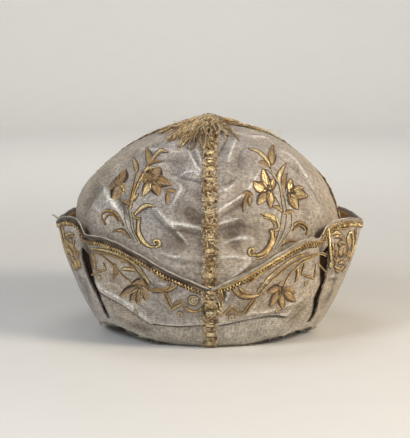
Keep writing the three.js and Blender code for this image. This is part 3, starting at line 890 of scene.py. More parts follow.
class Surface:
    """A face of the cap, charted by compass angle and by a measure that each kind of face defines."""

    lines = None
    tree = None

    def normals(self, azimuth, measure):
        east = self.smooth(azimuth + 0.5, measure) - self.smooth(azimuth - 0.5, measure)
        up = self.smooth(azimuth, measure + self.step) - self.smooth(azimuth, measure - self.step)
        return unit(np.cross(east, up))

    def crease_lines(self):
        """Charted creases as lines on the smooth face."""
        if self.lines is None:
            self.lines = []
            for crease in self.creases:
                pixels = spline(crease.pixels, np.linspace(0, 1, 9))
                self.lines.append(self.smooth(*self.cast(pixels)))
        return self.lines

    def halves(self, points):
        """Points and their shares in the front, then in the back, which wears the marks turned round."""
        front = step_mm(-points[..., 1], -HALF_BLEND, HALF_BLEND)
        return (points, front), (points * (-1, -1, 1), 1 - front)

    def stained_and_shaded(self, points):
        """How dark the charted patches are, between 0 and 1: stains and painted shade."""
        total = np.zeros(points.shape[:-1])
        for stain in self.stains_and_shade:
            middle = self.smooth(*self.cast([stain.pixel]))[0]
            for seen, share_seen in self.halves(points):
                apart = np.linalg.norm(seen - middle, axis=-1)
                total = total + stain.strength * share_seen * np.exp(-((apart / (stain.radius * MM)) ** 2))
        level, swing = STAIN_MOTTLE
        return np.clip(total * (level + swing * ripple(points, STAIN_MOTTLE_SIZE * MM, 15)), 0, 1)

    def fine(self, points, sharpness=CREASE_SHARPNESS):
        """Push of the fine charted creases."""
        total = np.zeros(points.shape[:-1])
        for crease, line in zip(self.creases, self.crease_lines()):
            for seen, share_seen in self.halves(points):
                apart, share = line_distance(seen, line)
                taper = np.sqrt(np.sin(np.pi * np.clip(share, 0.02, 0.98)))
                near = apart / (crease.width * sharpness * MM)
                sharp = np.exp(CREASE_TOP - CREASE_FALL * np.sqrt(near**2 + CREASE_ROUND))
                total = total + CREASE_STRENGTH * crease.depth * MM * sharp * taper * share_seen
        return total

    def push(self, azimuth, measure):
        """How far the folds, creases and dents move the smooth face."""
        points = self.smooth(azimuth, measure)
        folds = self.main_folds(azimuth, measure, points)
        return folds + self.fine(points) + crumple(points) * self.calm(measure)

    def at(self, azimuth, measure, offset=0.0):
        """Points of the crumpled face, kept above the table."""
        azimuth = np.asarray(azimuth, float)
        measure = np.asarray(measure, float)
        azimuth, measure, offset = np.broadcast_arrays(azimuth, measure, offset)
        push = self.push(azimuth, measure) + offset
        points = self.smooth(azimuth, measure) + self.normals(azimuth, measure) * push[..., None]
        points[..., 2] = np.maximum(points[..., 2], LOWEST * MM)
        return points

    def cast(self, pixels):
        """Compass angles and measures where the photograph's pixels fall on the smooth face."""
        if self.tree is None:
            azimuth, measure = self.base_grid()
            points = self.smooth(azimuth, measure)
            rows, columns = azimuth.shape
            first = (np.arange(rows - 1)[:, None] * columns + np.arange(columns - 1)).ravel()
            quads = np.column_stack([first, first + 1, first + columns + 1, first + columns])
            self.tree = BVHTree.FromPolygons(points.reshape(-1, 3).tolist(), quads.tolist())
        eye, ways = camera_rays(np.asarray(pixels, float))
        hits = [self.tree.ray_cast(eye, Vector(way))[0] for way in ways]
        if any(hit is None for hit in hits):
            missed = [tuple(pixel) for pixel, hit in zip(pixels, hits) if hit is None]
            raise RuntimeError(f"These chart pixels miss the cap: {missed}")
        points = np.array([tuple(hit) for hit in hits])
        return compass(points), self.measure(points)


def camera_axes():
    tilt = np.radians(CAMERA_ELEVATION)
    toward = np.array([0.0, -np.cos(tilt), np.sin(tilt)])
    up = np.array([0.0, np.sin(tilt), np.cos(tilt)])
    return toward, up


def camera_rays(pixels):
    """The camera's eye and the directions of pixels."""
    toward, up = camera_axes()
    eye = (np.array(CAMERA_TARGET) + CAMERA_DISTANCE * toward) * MM
    aside = (pixels[:, 0] - IMAGE_CENTRE[0]) * PIXEL_SIZE
    above = (IMAGE_CENTRE[1] - pixels[:, 1]) * PIXEL_SIZE
    ways = aside[:, None] * (1, 0, 0) + above[:, None] * up - CAMERA_DISTANCE * toward
    return Vector(eye), unit(ways)


class Crown(Surface):
    """Outer face of the crown: the measure is the share of the way up its meridian."""

    creases = CROWN_CREASES
    stains_and_shade = CROWN_STAINS_AND_SHADE
    step = 1e-3

    def smooth(self, azimuth, measure):
        height = np.interp(measure, MERIDIAN_SHARES, MERIDIAN_HEIGHT)
        return around(azimuth, crown_radius(measure) * bulge(azimuth), height)

    def main_folds(self, azimuth, measure, points):
        folds = fold_depth(CROWN_FOLDS, azimuth, points[..., 2], crown_radius(measure))
        return folds + self.pucker(azimuth, measure, points)

    def pucker(self, azimuth, measure, points):
        """Short ripples where the silk is drawn in by the front and back seams."""
        aside = np.minimum(abs(turn_from(0, azimuth)), abs(turn_from(180, azimuth)))
        drift = 2 * ripple(points, PUCKER_PATCH * MM, 17)
        wave = np.sin(2 * np.pi * crown_run(measure) / (PUCKER_PITCH * MM) + drift)
        near = np.exp(-np.radians(aside) * crown_radius(measure) / (PUCKER_REACH * MM))
        return PUCKER_HEIGHT * MM * wave * near * (1 - smoothstep(measure, *PUCKER_END))

    def measure(self, points):
        stretched = points * (1, 1 / DEPTH_RATIO, 1)
        radius = np.hypot(stretched[..., 0], stretched[..., 1]) / bulge(compass(points))
        rise = np.arctan2(points[..., 2] - CROWN_EYE_HEIGHT * MM, radius)
        return np.interp(rise, MERIDIAN_RISE, MERIDIAN_SHARES)

    def calm(self, measure):
        """Share of the dents that stays at a measure."""
        return 1 - TOP_CALM * smoothstep(measure, *TOP_CALM_RANGE)

    def base_grid(self):
        return np.meshgrid(np.linspace(-CAST_REACH, CAST_REACH, 161), np.linspace(0.05, 1, 121))


class Cuff(Surface):
    """Outer face of the cuff: the measure is the height above the table."""

    creases = CUFF_CREASES
    stains_and_shade = CUFF_STAINS_AND_SHADE
    step = 0.0005
    tuck = None

    def smooth(self, azimuth, measure):
        radius = np.interp(measure, MERIDIAN_HEIGHT, MERIDIAN_RADIUS) * bulge(azimuth) + CUFF_STANDOFF * MM
        lean = np.maximum(0, (measure / MM - LIFT_START) / LIFT_SPAN)
        return around(azimuth, radius + edge_lift(azimuth) * lean, measure)

    def main_folds(self, azimuth, measure, points):
        radius = np.hypot(points[..., 0], points[..., 1])
        return fold_depth(CUFF_FOLDS, azimuth, measure, radius) + self.tuck_step(azimuth, measure)

    def tuck_lines(self):
        """Compass angles and heights of the tucks left and right of the front braid."""
        if self.tuck is None:
            share = np.linspace(0, 1, 25)
            self.tuck = [self.cast(spline(pixels, share)) for pixels in (TUCK_LEFT, TUCK_RIGHT)]
        return self.tuck

    def hem_share(self, azimuth, measure):
        """How far below a tuck a place lies, in metres, and how deep the tuck is there."""
        azimuth = turn_from(0, np.asarray(azimuth, float))
        below = np.full(np.broadcast(azimuth, measure).shape, -1.0)
        deep = np.zeros(below.shape)
        for angles, heights in self.tuck_lines():
            inside = (azimuth >= angles[0]) & (azimuth <= angles[-1])
            outer = angles[-1] - azimuth if angles[0] > 0 else azimuth - angles[0]
            below = np.where(inside, np.interp(azimuth, angles, heights) - measure, below)
            deep = np.where(inside, smoothstep(outer, 0, TUCK_FADE), deep)
        return below, deep

    def tuck_step(self, azimuth, measure):
        """Push of the tuck: a lip above its line and sunk cloth below it."""
        below, deep = self.hem_share(azimuth, measure)
        sunk = step_mm(below, *TUCK_EDGE) * np.exp(-np.maximum(below, 0) / (TUCK_RUN * MM))
        lip = np.exp(-(((below + TUCK_LIP_PLACE * MM) / (TUCK_LIP_WIDTH * MM)) ** 2))
        return deep * (TUCK_LIP * MM * lip - TUCK_SINK * MM * sunk)

    def measure(self, points):
        return points[..., 2]

    def calm(self, measure):
        return CUFF_CALM

    def base_grid(self):
        return np.meshgrid(np.linspace(-CAST_REACH, CAST_REACH, 201), np.linspace(0, CUFF_TOP * MM, 81))


CROWN = Crown()
CUFF = Cuff()


def loft(rings, closed):
    """Points and quads of rods given as rows of section points, turned so that they face outwards."""
    count, rows, sides = rings.shape[:3]
    spans = rows if closed else rows - 1
    here = np.arange(spans)[:, None] * sides
    onward = (np.arange(1, spans + 1) % rows)[:, None] * sides
    j = np.arange(sides)
    after = (j + 1) % sides
    quads = np.stack([here + j, onward + j, onward + after, here + after], axis=-1).reshape(-1, 4)
    if not closed:
        k = np.arange(sides // 2 - 1)
        foot = np.column_stack([k, k + 1, sides - 2 - k, sides - 1 - k])
        quads = np.concatenate([quads, foot, foot[:, ::-1] + (rows - 1) * sides])
    corner = rings.reshape(count, -1, 3) - rings.reshape(count, -1, 3).mean(1, keepdims=True)
    a, b, c, d = (corner[:, quads[:, i]] for i in range(4))
    volume = (a * (np.cross(b, c) + np.cross(c, d))).sum((1, 2))
    turned = rings.copy()
    turned[volume < 0] = rings[volume < 0][:, :, ::-1]
    stride = rows * sides
    every = (np.arange(count) * stride)[:, None, None] + quads
    return turned.reshape(-1, 3), every.reshape(-1, 4)


def lengths(points):
    """Running length along each line of points."""
    steps = np.linalg.norm(np.diff(points, axis=-2), axis=-1)
    start = np.zeros(steps.shape[:-1] + (1,))
    return np.concatenate([start, np.cumsum(steps, axis=-1)], axis=-1)


def cord_rings(points, normals, radius, sides=6, closed=False, flat=1.0):
    """Section points of cords that lie on a face with the given normals."""
    if closed:
        way = np.roll(points, -1, axis=-2) - np.roll(points, 1, axis=-2)
    else:
        way = np.gradient(points, axis=-2)
    way = unit(way)
    side = unit(np.cross(way, normals))
    up = np.cross(side, way)
    turn = np.arange(sides) * 2 * np.pi / sides + np.pi / sides
    radius = np.broadcast_to(radius, points.shape[:-1])[..., None, None]
    across = np.cos(turn)[:, None] * side[..., None, :]
    above = flat * np.sin(turn)[:, None] * up[..., None, :]
    return points[..., None, :] + radius * (across + above)


class Joined:
    """Many small rods gathered for one mesh, each point with its run along the thread and its tarnish."""

    def __init__(self):
        self.points = []
        self.quads = []
        self.run = []
        self.tarnish = []
        self.total = 0

    def rods(self, rings, run, tarnish, closed=False):
        points, quads = loft(rings, closed)
        shape = rings.shape[:3]
        self.points.append(points)
        self.quads.append(quads + self.total)
        self.run.append(np.broadcast_to(np.asarray(run)[..., None], shape).ravel())
        tarnish = np.asarray(tarnish, float)
        while tarnish.ndim < 3:
            tarnish = tarnish[..., None]
        self.tarnish.append(np.broadcast_to(tarnish, shape).ravel())
        self.total += len(points)

    def cords(self, points, normals, radius, tarnish, sides=6, closed=False, flat=1.0):
        """Adds cords along lines of points, given as cords, rows and axes."""
        rings = cord_rings(points, normals, radius, sides, closed, flat)
        self.rods(rings, lengths(points), tarnish, closed)

    def cord(self, points, normals, radius, tarnish, sides=6, closed=False, flat=1.0):
        """Adds one cord along a line of points."""
        tarnish = np.atleast_1d(tarnish)[None]
        self.cords(points[None], normals[None], radius, tarnish, sides, closed, flat)

    def piece(self, name, material, slot, replaced=()):
        """Makes the gathered rods one object that rides on the cap."""
        mesh = bpy.data.meshes.new(name)
        mesh.from_pydata(np.concatenate(self.points).tolist(), [], np.concatenate(self.quads).tolist())
        point_values(mesh, "run", np.concatenate(self.run))
        point_values(mesh, "tarnish", np.concatenate(self.tarnish))
        mesh.polygons.foreach_set("use_smooth", np.ones(len(mesh.polygons), bool))
        piece = bpy.data.objects.new(name, mesh)
        bpy.context.collection.objects.link(piece)
        return settle(piece, material, replaced)


def point_values(mesh, name, values):
    layer = mesh.attributes.new(name, "FLOAT", "POINT")
    layer.data.foreach_set("value", np.asarray(values, np.float32).ravel())


def settle(piece, material, replaced=()):
    """Gives a finished piece its material and its place in the frame."""
    piece.data.materials.clear()
    piece.data.materials.append(material)
    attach(piece, "root")
    if replaced:
        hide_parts(*replaced)
    return piece


def cloth_grid(name, columns, rows):
    """A grid primitive for a sheet of cloth, and each point's shares across and up."""
    bpy.ops.object.select_all(action="DESELECT")
    bpy.ops.mesh.primitive_grid_add(x_subdivisions=columns, y_subdivisions=rows, size=1.0)
    piece = bpy.context.object
    piece.name = name
    piece.data.name = name
    flat = np.empty(len(piece.data.vertices) * 3)
    piece.data.vertices.foreach_get("co", flat)
    flat = flat.reshape(-1, 3)
    return piece, flat[:, 0] + 0.5, flat[:, 1] + 0.5


def shape_cloth(piece, points, cloth):
    """Moves a grid's points into place and lays its cloth pattern, in metres, over it."""
    mesh = piece.data
    mesh.vertices.foreach_set("co", points.ravel())
    corner = np.empty(len(mesh.loops), int)
    mesh.loops.foreach_get("vertex_index", corner)
    mesh.uv_layers.active.data.foreach_set("uv", cloth[corner].ravel())
    mesh.update()


def thicken(piece, thickness):
    """Gives a sheet its thickness behind its outer face, above the table."""
    bpy.ops.object.select_all(action="DESELECT")
    bpy.context.view_layer.objects.active = piece
    piece.select_set(True)
    wall = piece.modifiers.new("Wall", "SOLIDIFY")
    wall.thickness = thickness
    wall.offset = -1.0
    wall.use_even_offset = False
    bpy.ops.object.modifier_apply(modifier=wall.name)
    points = np.empty(len(piece.data.vertices) * 3)
    piece.data.vertices.foreach_get("co", points)
    points[2::3] = np.maximum(points[2::3], 0.0)
    piece.data.vertices.foreach_set("co", points)
    bpy.ops.object.shade_smooth()


class Nodes:
    """A material under construction, with short ways to add and join its nodes."""

    def __init__(self, name):
        self.material = bpy.data.materials.new(name)
        self.material.use_nodes = True
        self.tree = self.material.node_tree
        self.shader = self.tree.nodes["Principled BSDF"]

    def add(self, kind, settings=None, **inputs):
        node = self.tree.nodes.new(kind)
        for key, value in (settings or {}).items():
            setattr(node, key, value)
        for key, value in inputs.items():
            self.feed(node.inputs[key.replace("_", " ")], value)
        return node

    def feed(self, socket, value):
        if isinstance(value, bpy.types.NodeSocket):
            self.tree.links.new(value, socket)
        else:
            socket.default_value = value

    def attribute(self, name):
        return self.add("ShaderNodeAttribute", {"attribute_name": name}).outputs["Fac"]

    def coordinates(self, output, scale=(1, 1, 1)):
        source = self.add("ShaderNodeTexCoord").outputs[output]
        return self.add("ShaderNodeMapping", Vector=source, Scale=scale).outputs["Vector"]

    def noise(self, vector, scale, detail=3.0):
        node = self.add("ShaderNodeTexNoise", None, Vector=vector, Scale=scale, Detail=detail)
        return node.outputs["Fac"]

    def waves(self, vector, scale, direction, distortion, detail_scale=1.0):
        inputs = {"Scale": scale, "Distortion": distortion, "Detail": 2.0, "Detail_Scale": detail_scale}
        settings = {"wave_type": "BANDS", "bands_direction": direction}
        return self.add("ShaderNodeTexWave", settings, Vector=vector, **inputs).outputs["Fac"]

    def maths(self, operation, first, second=0.0, clamp=False):
        node = self.add("ShaderNodeMath", {"operation": operation, "use_clamp": clamp})
        self.feed(node.inputs[0], first)
        self.feed(node.inputs[1], second)
        return node.outputs[0]

    def spread(self, value, low, high, to_low=0.0, to_high=1.0):
        """Moves a value from one range to another, clamped."""
        ends = {"From_Min": low, "From_Max": high, "To_Min": to_low, "To_Max": to_high}
        return self.add("ShaderNodeMapRange", {"clamp": True}, Value=value, **ends).outputs["Result"]

    def blend(self, factor, first, second, mode="MIX"):
        node = self.add("ShaderNodeMix", {"data_type": "RGBA", "blend_type": mode})
        self.feed(node.inputs["Factor"], factor)
        first_socket, second_socket = (socket for socket in node.inputs if socket.type == "RGBA")
        self.feed(first_socket, first)
        self.feed(second_socket, second)
        return next(socket for socket in node.outputs if socket.type == "RGBA")

    def bump(self, height, strength, distance, normal=None):
        node = self.add("ShaderNodeBump", Height=height, Strength=strength, Distance=distance)
        if normal is not None:
            self.feed(node.inputs["Normal"], normal)
        return node.outputs["Normal"]

    def set(self, **inputs):
        for key, value in inputs.items():
            self.feed(self.shader.inputs[key.replace("_", " ")], value)


def colour(value):
    return (*value, 1.0)


def satin_material(settings):
    """Worn satin: fine weft ribs, tone that drifts from cool to warm, stains and painted shade in dark
    patches, painted shade in its valleys and painted highlights on its ridges.
    """
    made = Nodes("worn_satin")
    place = made.coordinates("Object")
    cloth = made.coordinates("UV")
    drift = made.noise(place, 9.0, 2.0)
    tone = made.blend(made.spread(drift, 0.35, 0.65), colour(settings.cool), colour(settings.warm))
    blotch = made.spread(made.noise(place, 38.0, 5.0), 0.54, 0.74, 0.0, 0.55)
    aged = made.blend(blotch, tone, colour(settings.stain))
    # Charted dark patches: stains and painted shade
    stained_and_shaded = made.blend(made.attribute("stain"), aged, colour(settings.stain))
    # Painted highlight, with some real wear: ridges of creases and dents and the tuck's upper lip are
    # lightened
    ridge = made.spread(made.attribute("ridge"), 0.08, 1.0, 0.0, 0.8)
    wear_and_highlight = made.blend(ridge, stained_and_shaded, colour(settings.wear_and_highlight))
    hem = made.attribute("hem")
    raw = made.blend(hem, wear_and_highlight, colour(settings.hem))
    # Painted shade: valleys of creases and dents, the tuck's shadow, the slits' lips and the cuff's top edge
    # are darkened
    valley = made.spread(made.attribute("valley"), 0.0, 1.4, 0.0, 0.94)
    crease_shaded = made.blend(valley, raw, colour(settings.grime_and_shade))
    threads = made.noise(made.coordinates("UV", (60, 1400, 1)), 1.0, 2.0)
    streaked = made.blend(made.spread(threads, 0.3, 0.7, 0.0, 0.13), crease_shaded, colour(settings.grime_and_shade))
    twill = made.waves(cloth, settings.twill_scale, "DIAGONAL", 2.0, 1.5)
    ribs = made.waves(cloth, settings.rib_scale, "Y", 1.4)
    cords = made.waves(cloth, settings.hem_scale, "X", 0.8)
    corded = made.maths("MULTIPLY", cords, made.maths("MULTIPLY", hem, 0.5))
    weave = made.maths("MULTIPLY", made.maths("ADD", made.maths("ADD", ribs, twill), corded), 0.12)
    grain = made.maths("ADD", weave, made.noise(place, 460.0, 3.0))
    dust = made.spread(made.noise(place, 150.0, 4.0), 0.3, 0.7, 0.84, 1.14)
    dusty = made.blend(1.0, streaked, dust, "MULTIPLY")
    speckled = made.blend(1.0, dusty, made.spread(grain, 0.44, 0.80, 0.62, 1.34), "MULTIPLY")
    crinkle = made.add(
        "ShaderNodeTexNoise",
        {"noise_dimensions": "3D", "noise_type": "RIDGED_MULTIFRACTAL"},
        Vector=place,
        Scale=34.0,
        Detail=3.0,
        Roughness=0.5,
        Distortion=0.6,
    ).outputs["Fac"]
    creased = made.bump(crinkle, 0.25, 0.0014)
    diagonal = made.bump(twill, 0.3, 0.0004, creased)
    fine = made.bump(ribs, 0.16, 0.0003, diagonal)
    slub = made.bump(threads, 0.2, 0.0004, fine)
    ribbed = made.bump(corded, 0.45, 0.0008, slub)
    gloss = made.spread(made.noise(place, 60.0, 3.0), 0.3, 0.7, 0.56, 0.74)
    rough = made.maths("ADD", gloss, made.maths("MULTIPLY", hem, 0.3), True)
    made.set(Base_Color=speckled, Roughness=rough, Normal=ribbed)
    made.set(Sheen_Weight=0.1, Sheen_Roughness=0.4, Specular_IOR_Level=0.4)
    made.shader.inputs["Sheen Tint"].default_value = (1.0, 0.97, 0.92, 1.0)
    return made.material


def lining_material(name, dark, light, sheen):
    """Brown linen inside the cuff, with a plain weave; in a near-black tint it also makes the strips that
    paint the slits' shadow.
    """
    made = Nodes(name)
    place = made.coordinates("Object")
    patch = made.noise(place, 45.0, 4.0)
    tone = made.blend(made.spread(patch, 0.35, 0.7), colour(dark), colour(light))
    across = made.noise(made.coordinates("UV", (1300, 120, 1)), 1.0, 1.0)
    up = made.noise(made.coordinates("UV", (120, 1300, 1)), 1.0, 1.0)
    weave = made.maths("ADD", across, up)
    made.set(Base_Color=tone, Roughness=0.9, Normal=made.bump(weave, 0.5, 0.0005))
    made.set(Sheen_Weight=sheen, Specular_IOR_Level=sheen)
    return made.material


def gilt_material(name, gilt, bright, twist, rough_bright=0.26, metal_bright=1.0):
    """Gilt thread, spun along its run: bright where worn clean, then brown, and dark on the lace's ground;
    the darkest tarnish also paints shade round outlines, cords, spangles and veins, and in the lowest tassel
    strands.
    """
    made = Nodes(name)
    place = made.coordinates("Object")
    dull = made.attribute("tarnish")
    patch = made.spread(made.noise(place, 160.0, 4.0), 0.3, 0.7, -0.22, 0.22)
    age = made.maths("ADD", dull, patch)
    worn = made.blend(made.spread(age, -0.6, -0.2), colour(gilt.pale), colour(bright))
    gold = made.blend(made.spread(age, 0.0, 0.5), worn, colour(gilt.deep))
    brown = made.blend(made.spread(age, 0.45, 0.95), gold, colour(gilt.tarnished))
    # Tarnish above one darkens towards the lace's ground tint, which also paints shade
    tarnished_and_shaded = made.blend(made.spread(dull, 1.0, 2.0), brown, colour(gilt.ground_and_shade))
    spun = made.maths("SINE", made.maths("MULTIPLY", made.attribute("run"), 2 * np.pi / twist))
    # Painted shade in the grooves of the spun thread
    groove_shade = made.spread(spun, -1.0, -0.2, 0.45, 0.0)
    groove_shaded = made.blend(groove_shade, tarnished_and_shaded, colour([0.3 * value for value in gilt.tarnished]))
    flecks = made.spread(made.noise(place, 700.0, 3.0), 0.35, 0.65, 0.62, 1.25)
    flecked = made.blend(1.0, groove_shaded, flecks, "MULTIPLY")
    clean = made.spread(age, -0.6, -0.1)
    rough = made.spread(age, 0.0, 1.0, rough_bright, 0.55)
    matt = made.maths("MAXIMUM", rough, made.spread(clean, 0.0, 1.0, 0.62, rough_bright))
    metal = made.spread(age, 0.35, 1.0, metal_bright, 0.35 * metal_bright)
    silvered = made.maths("MULTIPLY", metal, made.spread(clean, 0.0, 1.0, 0.35, 1.0))
    made.set(Base_Color=flecked, Roughness=matt, Metallic=silvered)
    made.set(Normal=made.bump(spun, 0.7, 0.00012))
    return made.material


def cream_material(name, settings, twist):
    """Cream silk cord or thread, spun along its run and soiled in patches."""
    made = Nodes(name)
    patch = made.noise(made.coordinates("Object"), 90.0, 4.0)
    tone = made.blend(made.spread(patch, 0.35, 0.75), colour(settings.piping), colour(settings.stain))
    spun = made.maths("SINE", made.maths("MULTIPLY", made.attribute("run"), 2 * np.pi / twist))
    made.set(Base_Color=tone, Roughness=0.6, Normal=made.bump(spun, 0.5, 0.0002), Sheen_Weight=0.3)
    return made.material


def floor_material(settings):
    """Plain pale floor and backdrop with a faint mottle."""
    made = Nodes("pale_floor")
    mottle = made.noise(made.coordinates("Object"), 30.0, 4.0)
    low = colour([0.96 * value for value in settings.floor])
    tone = made.blend(mottle, low, colour(settings.floor))
    made.set(Base_Color=tone, Roughness=0.75, Normal=made.bump(mottle, 0.05, 0.0005))
    return made.material


def tint_setting(name, description, *default):
    return bpy.props.FloatVectorProperty(
        name=name, description=description, subtype="COLOR", default=default
    )


def length_setting(name, description, default):
    return bpy.props.FloatProperty(name=name, description=description, unit="LENGTH", default=default)


def power_setting(name, description, default):
    return bpy.props.FloatProperty(name=name, description=description, unit="POWER", default=default)


def weave_setting(name, description, default):
    return bpy.props.FloatProperty(name=name, description=description, default=default, min=10.0)


class CapSilk(bpy.types.PropertyGroup):
    """Colours and weave of the cap's cloth."""

    cool: tint_setting("Cool silk", "Satin where it leans to grey", 0.405, 0.37, 0.345)
    warm: tint_setting("Warm silk", "Satin where it leans to beige", 0.47, 0.395, 0.30)
    # Tint of stains and soil, and of the painted shade in the charted patches
    stain: tint_setting("StainAndShade", "Old soft stains", 0.13, 0.10, 0.076)
    # Tint of the painted highlight on the ridges, with some real wear
    wear_and_highlight: tint_setting("Rubbed silk", "Satin worn pale on its ridges", 0.86, 0.84, 0.81)
    # Tint of the dirt in the thread streaks and of the painted shade in the valleys
    grime_and_shade: tint_setting("Grime", "Dirt that gathers in the creases", 0.06, 0.047, 0.038)
    hem: tint_setting("Hem cloth", "Raw ribbed cloth at the rim", 0.47, 0.43, 0.37)
    piping: tint_setting("Piping", "Cream cord on the cuff's edge", 0.66, 0.60, 0.48)
    lining_light: tint_setting("Lining", "Brown linen inside the cuff", 0.58, 0.36, 0.16)
    lining_dark: tint_setting("Lining shade", "Darker patches of the lining", 0.28, 0.16, 0.07)
    # Near-black tint of the strips behind the slits: painted shadow, with a little of the lining's brown
    slit: tint_setting("Slit", "Dark linen behind the slits", 0.018, 0.011, 0.006)
    rib_scale: weave_setting("Rib scale", "How finely the weft ribs repeat", 190.0)
    hem_scale: weave_setting("Hem cord scale", "How finely the hem cloth's cords repeat", 105.0)
    twill_scale: weave_setting("Twill scale", "How finely the slanting twill repeats", 300.0)


class CapGilt(bpy.types.PropertyGroup):
    """Colours and sizes of the metal thread."""

    bright: tint_setting("Bright gold", "Gilt worn clean", 0.98, 0.76, 0.40)
    deep: tint_setting("Deep gold", "Gilt in the shade of its thread", 0.42, 0.26, 0.09)
    tarnished: tint_setting("Tarnish", "Gilt gone brown", 0.42, 0.28, 0.165)
    # Dark tint of the lace's ground, also used for painted shade round outlines, cords, spangles and veins
    ground_and_shade: tint_setting("Ground", "Dark ground under the lace", 0.03, 0.017, 0.008)
    # Tint of thread worn to its silver, also used for the painted highlights on some leaves
    pale: tint_setting("Pale thread", "Thread worn to its silver", 0.54, 0.48, 0.38)
    lace: tint_setting("Lace gold", "Threads of the seam braids", 1.0, 0.82, 0.52)
    straw: tint_setting("Straw gold", "Tassel's strands", 1.0, 0.82, 0.51)
    twist: length_setting("Twist", "Length of one turn of the spun thread", 0.0011)
    padding: length_setting("Padding", "Height of the padded petals", 0.0012)
    outline: length_setting("Outline cord", "Radius of the cord round a petal", 0.00042)


class CapTassel(bpy.types.PropertyGroup):
    """Strands of the tassel."""

    strands: bpy.props.IntProperty(
        name="Strands", description="About how many strands lie on the crown", default=480, min=10
    )
    length: length_setting("Length", "Usual length of a strand", 0.038)
    radius: length_setting("Radius", "Radius of a strand", 0.0005)
    seed: bpy.props.IntProperty(name="Seed", description="Start of the tassel's random numbers", default=7)


class CapStage(bpy.types.PropertyGroup):
    """Floor and lights."""

    floor: tint_setting("Floor", "Pale floor and backdrop", 0.78, 0.77, 0.75)
    key: power_setting("Key", "Warm light from the right", 12.8)
    fill: power_setting("Fill", "Cool light from the left", 7.6)
    top: power_setting("Top", "Soft light from above", 3.0)
    wash: power_setting("Wash", "Strongest light on the round backdrop", 15.0)
    sky: bpy.props.FloatProperty(name="Sky", description="Strength of the surroundings", default=0.1)


# Millimetres of a crease or a dent that get the full painted shade or highlight, and where a dent starts to
# get it
CREASE_MARK = 1.4
DENT_MARK = 2.4
DENT_START = 0.15


def shade_and_stain_marks(piece, surface, azimuth, measure, shadow=0.0, light=0.0):
    """Stores how deep in a crease and how high on a ridge each point lies, for painted shade and painted
    highlights, and how dark its charted patches are.
    """
    points = surface.smooth(azimuth, measure)
    creases = surface.fine(points, MARK_SHARPNESS) / (CREASE_MARK * MM)
    push = creases + (crumple(points) - DENT_START * MM) / (DENT_MARK * MM)
    point_values(piece.data, "valley", np.maximum(np.clip(-push, 0, 1), shadow))
    point_values(piece.data, "ridge", np.maximum(np.clip(push, 0, 1), light))
    point_values(piece.data, "stain", surface.stained_and_shaded(points))


def cuff_cloth(azimuth, height):
    """Where places of the cuff lie on its cloth, in metres."""
    return np.column_stack([np.radians(azimuth) * CUFF_RADIUS * MM, height])


GORE_GRIDS = {"front": (160, 184), "back": (80, 100)}  # columns and rows


class CAP_OT_gores(bpy.types.Operator):
    """Make the four crumpled silk gores of the crown"""

    bl_idname = "cap.gores"
    bl_label = "Crown gores"

    def execute(self, context):
        material = satin_material(context.scene.cap_silk)
        for place, (start, end) in GORES.items():
            piece, across, up = cloth_grid(f"silk_gore_{place}", *GORE_GRIDS[place.split("_")[0]])
            radius = crown_radius(up)
            inset = np.degrees(SEAM_GAP * MM / radius)
            first = seam_at(start, up)
            span = np.mod(seam_at(end, up) - first, 360)
            azimuth = first + inset + (span - 2 * inset) * across
            foot = share_at(rim_height(azimuth))
            along = foot + (1 - foot) * up
            aside = np.radians(span * (across - 0.5)) * radius
            shape_cloth(piece, CROWN.at(azimuth, along), np.column_stack([aside, crown_run(along)]))
            shade_and_stain_marks(piece, CROWN, azimuth, along)
            point_values(piece.data, "hem", np.zeros(len(along)))
            thicken(piece, SILK_THICKNESS * MM)
            settle(piece, material, (f"gore_{place}",))
        return {"FINISHED"}


# Grid of a cuff half, with its slit between two columns and its tuck between two rows
CUFF_COLUMNS = 200
CUFF_ROWS = 84
SLIT_COLUMN = 58
SLIT_PASSES = 4  # that settle the slit's columns
SLIT_CLOSED = 0.15  # half of the degrees between the columns past a slit's ends
SLIT_CALM = {"left": 0.25, "right": 0.08}  # how far each place of a slit is drawn to its neighbours
SLITS = {"left": SLIT_LEFT, "right": SLIT_RIGHT}
TUCK_ROW = 16
TUCK_GAPE = 1.2  # millimetres between the tuck's lips

# Torn lips of the slits and torn rim, in millimetres
LIP_TEAR = 8.0  # above a slit's foot, where its lips are torn in full
LIP_CURLS = (-0.3, 0.7)  # behind the slit and in front of it
LIP_CURL_REACH = 3.2
# Painted shade along the torn lips of the slits: how far it reaches
LIP_SHADE_REACH = 0.8
LIP_SHADE = 1.4  # how dark the painted shade is
RIM_TEAR = 0.5
RIM_TEAR_SIZE = 5.0
RIM_THREADS = 0.15

# Marks on the cuff, of wear and of painted light and shade: millimetres between which each starts or ends,
# and how strong it is
HEM_START = (0.2, 1.2)  # below the tuck
HEM_DEPTH = (0.0, 0.6)  # shares of the tuck's depth
RIM_WORN = (3.0, 12.0)  # above the rim
RIM_WORN_SHARE = 0.8
SHADOW_START = (-0.3, 0.3)  # below the tuck
SHADOW_END = (1.4, 2.8)
SHADOW = 1.6
# Painted highlight on the tuck's upper lip
LIT_LIP_START = (0.2, 0.8)  # above the tuck
LIT_LIP_END = (1.4, 2.6)
LIT_LIP = 0.7
TUCK_MARKED = (0.0, 0.5)  # shares of the tuck's depth
# Painted shade in a band below the cuff's top edge
EDGE_SHADE_BAND = {"left": (-7.2, -6.2), "right": (-2.6, -1.0)}  # from the top edge
EDGE_SHADE = {"left": 1.3, "right": 0.35}
EDGE_SHADE_END = (78, 96)  # compass angles between which the painted shade ends towards the back


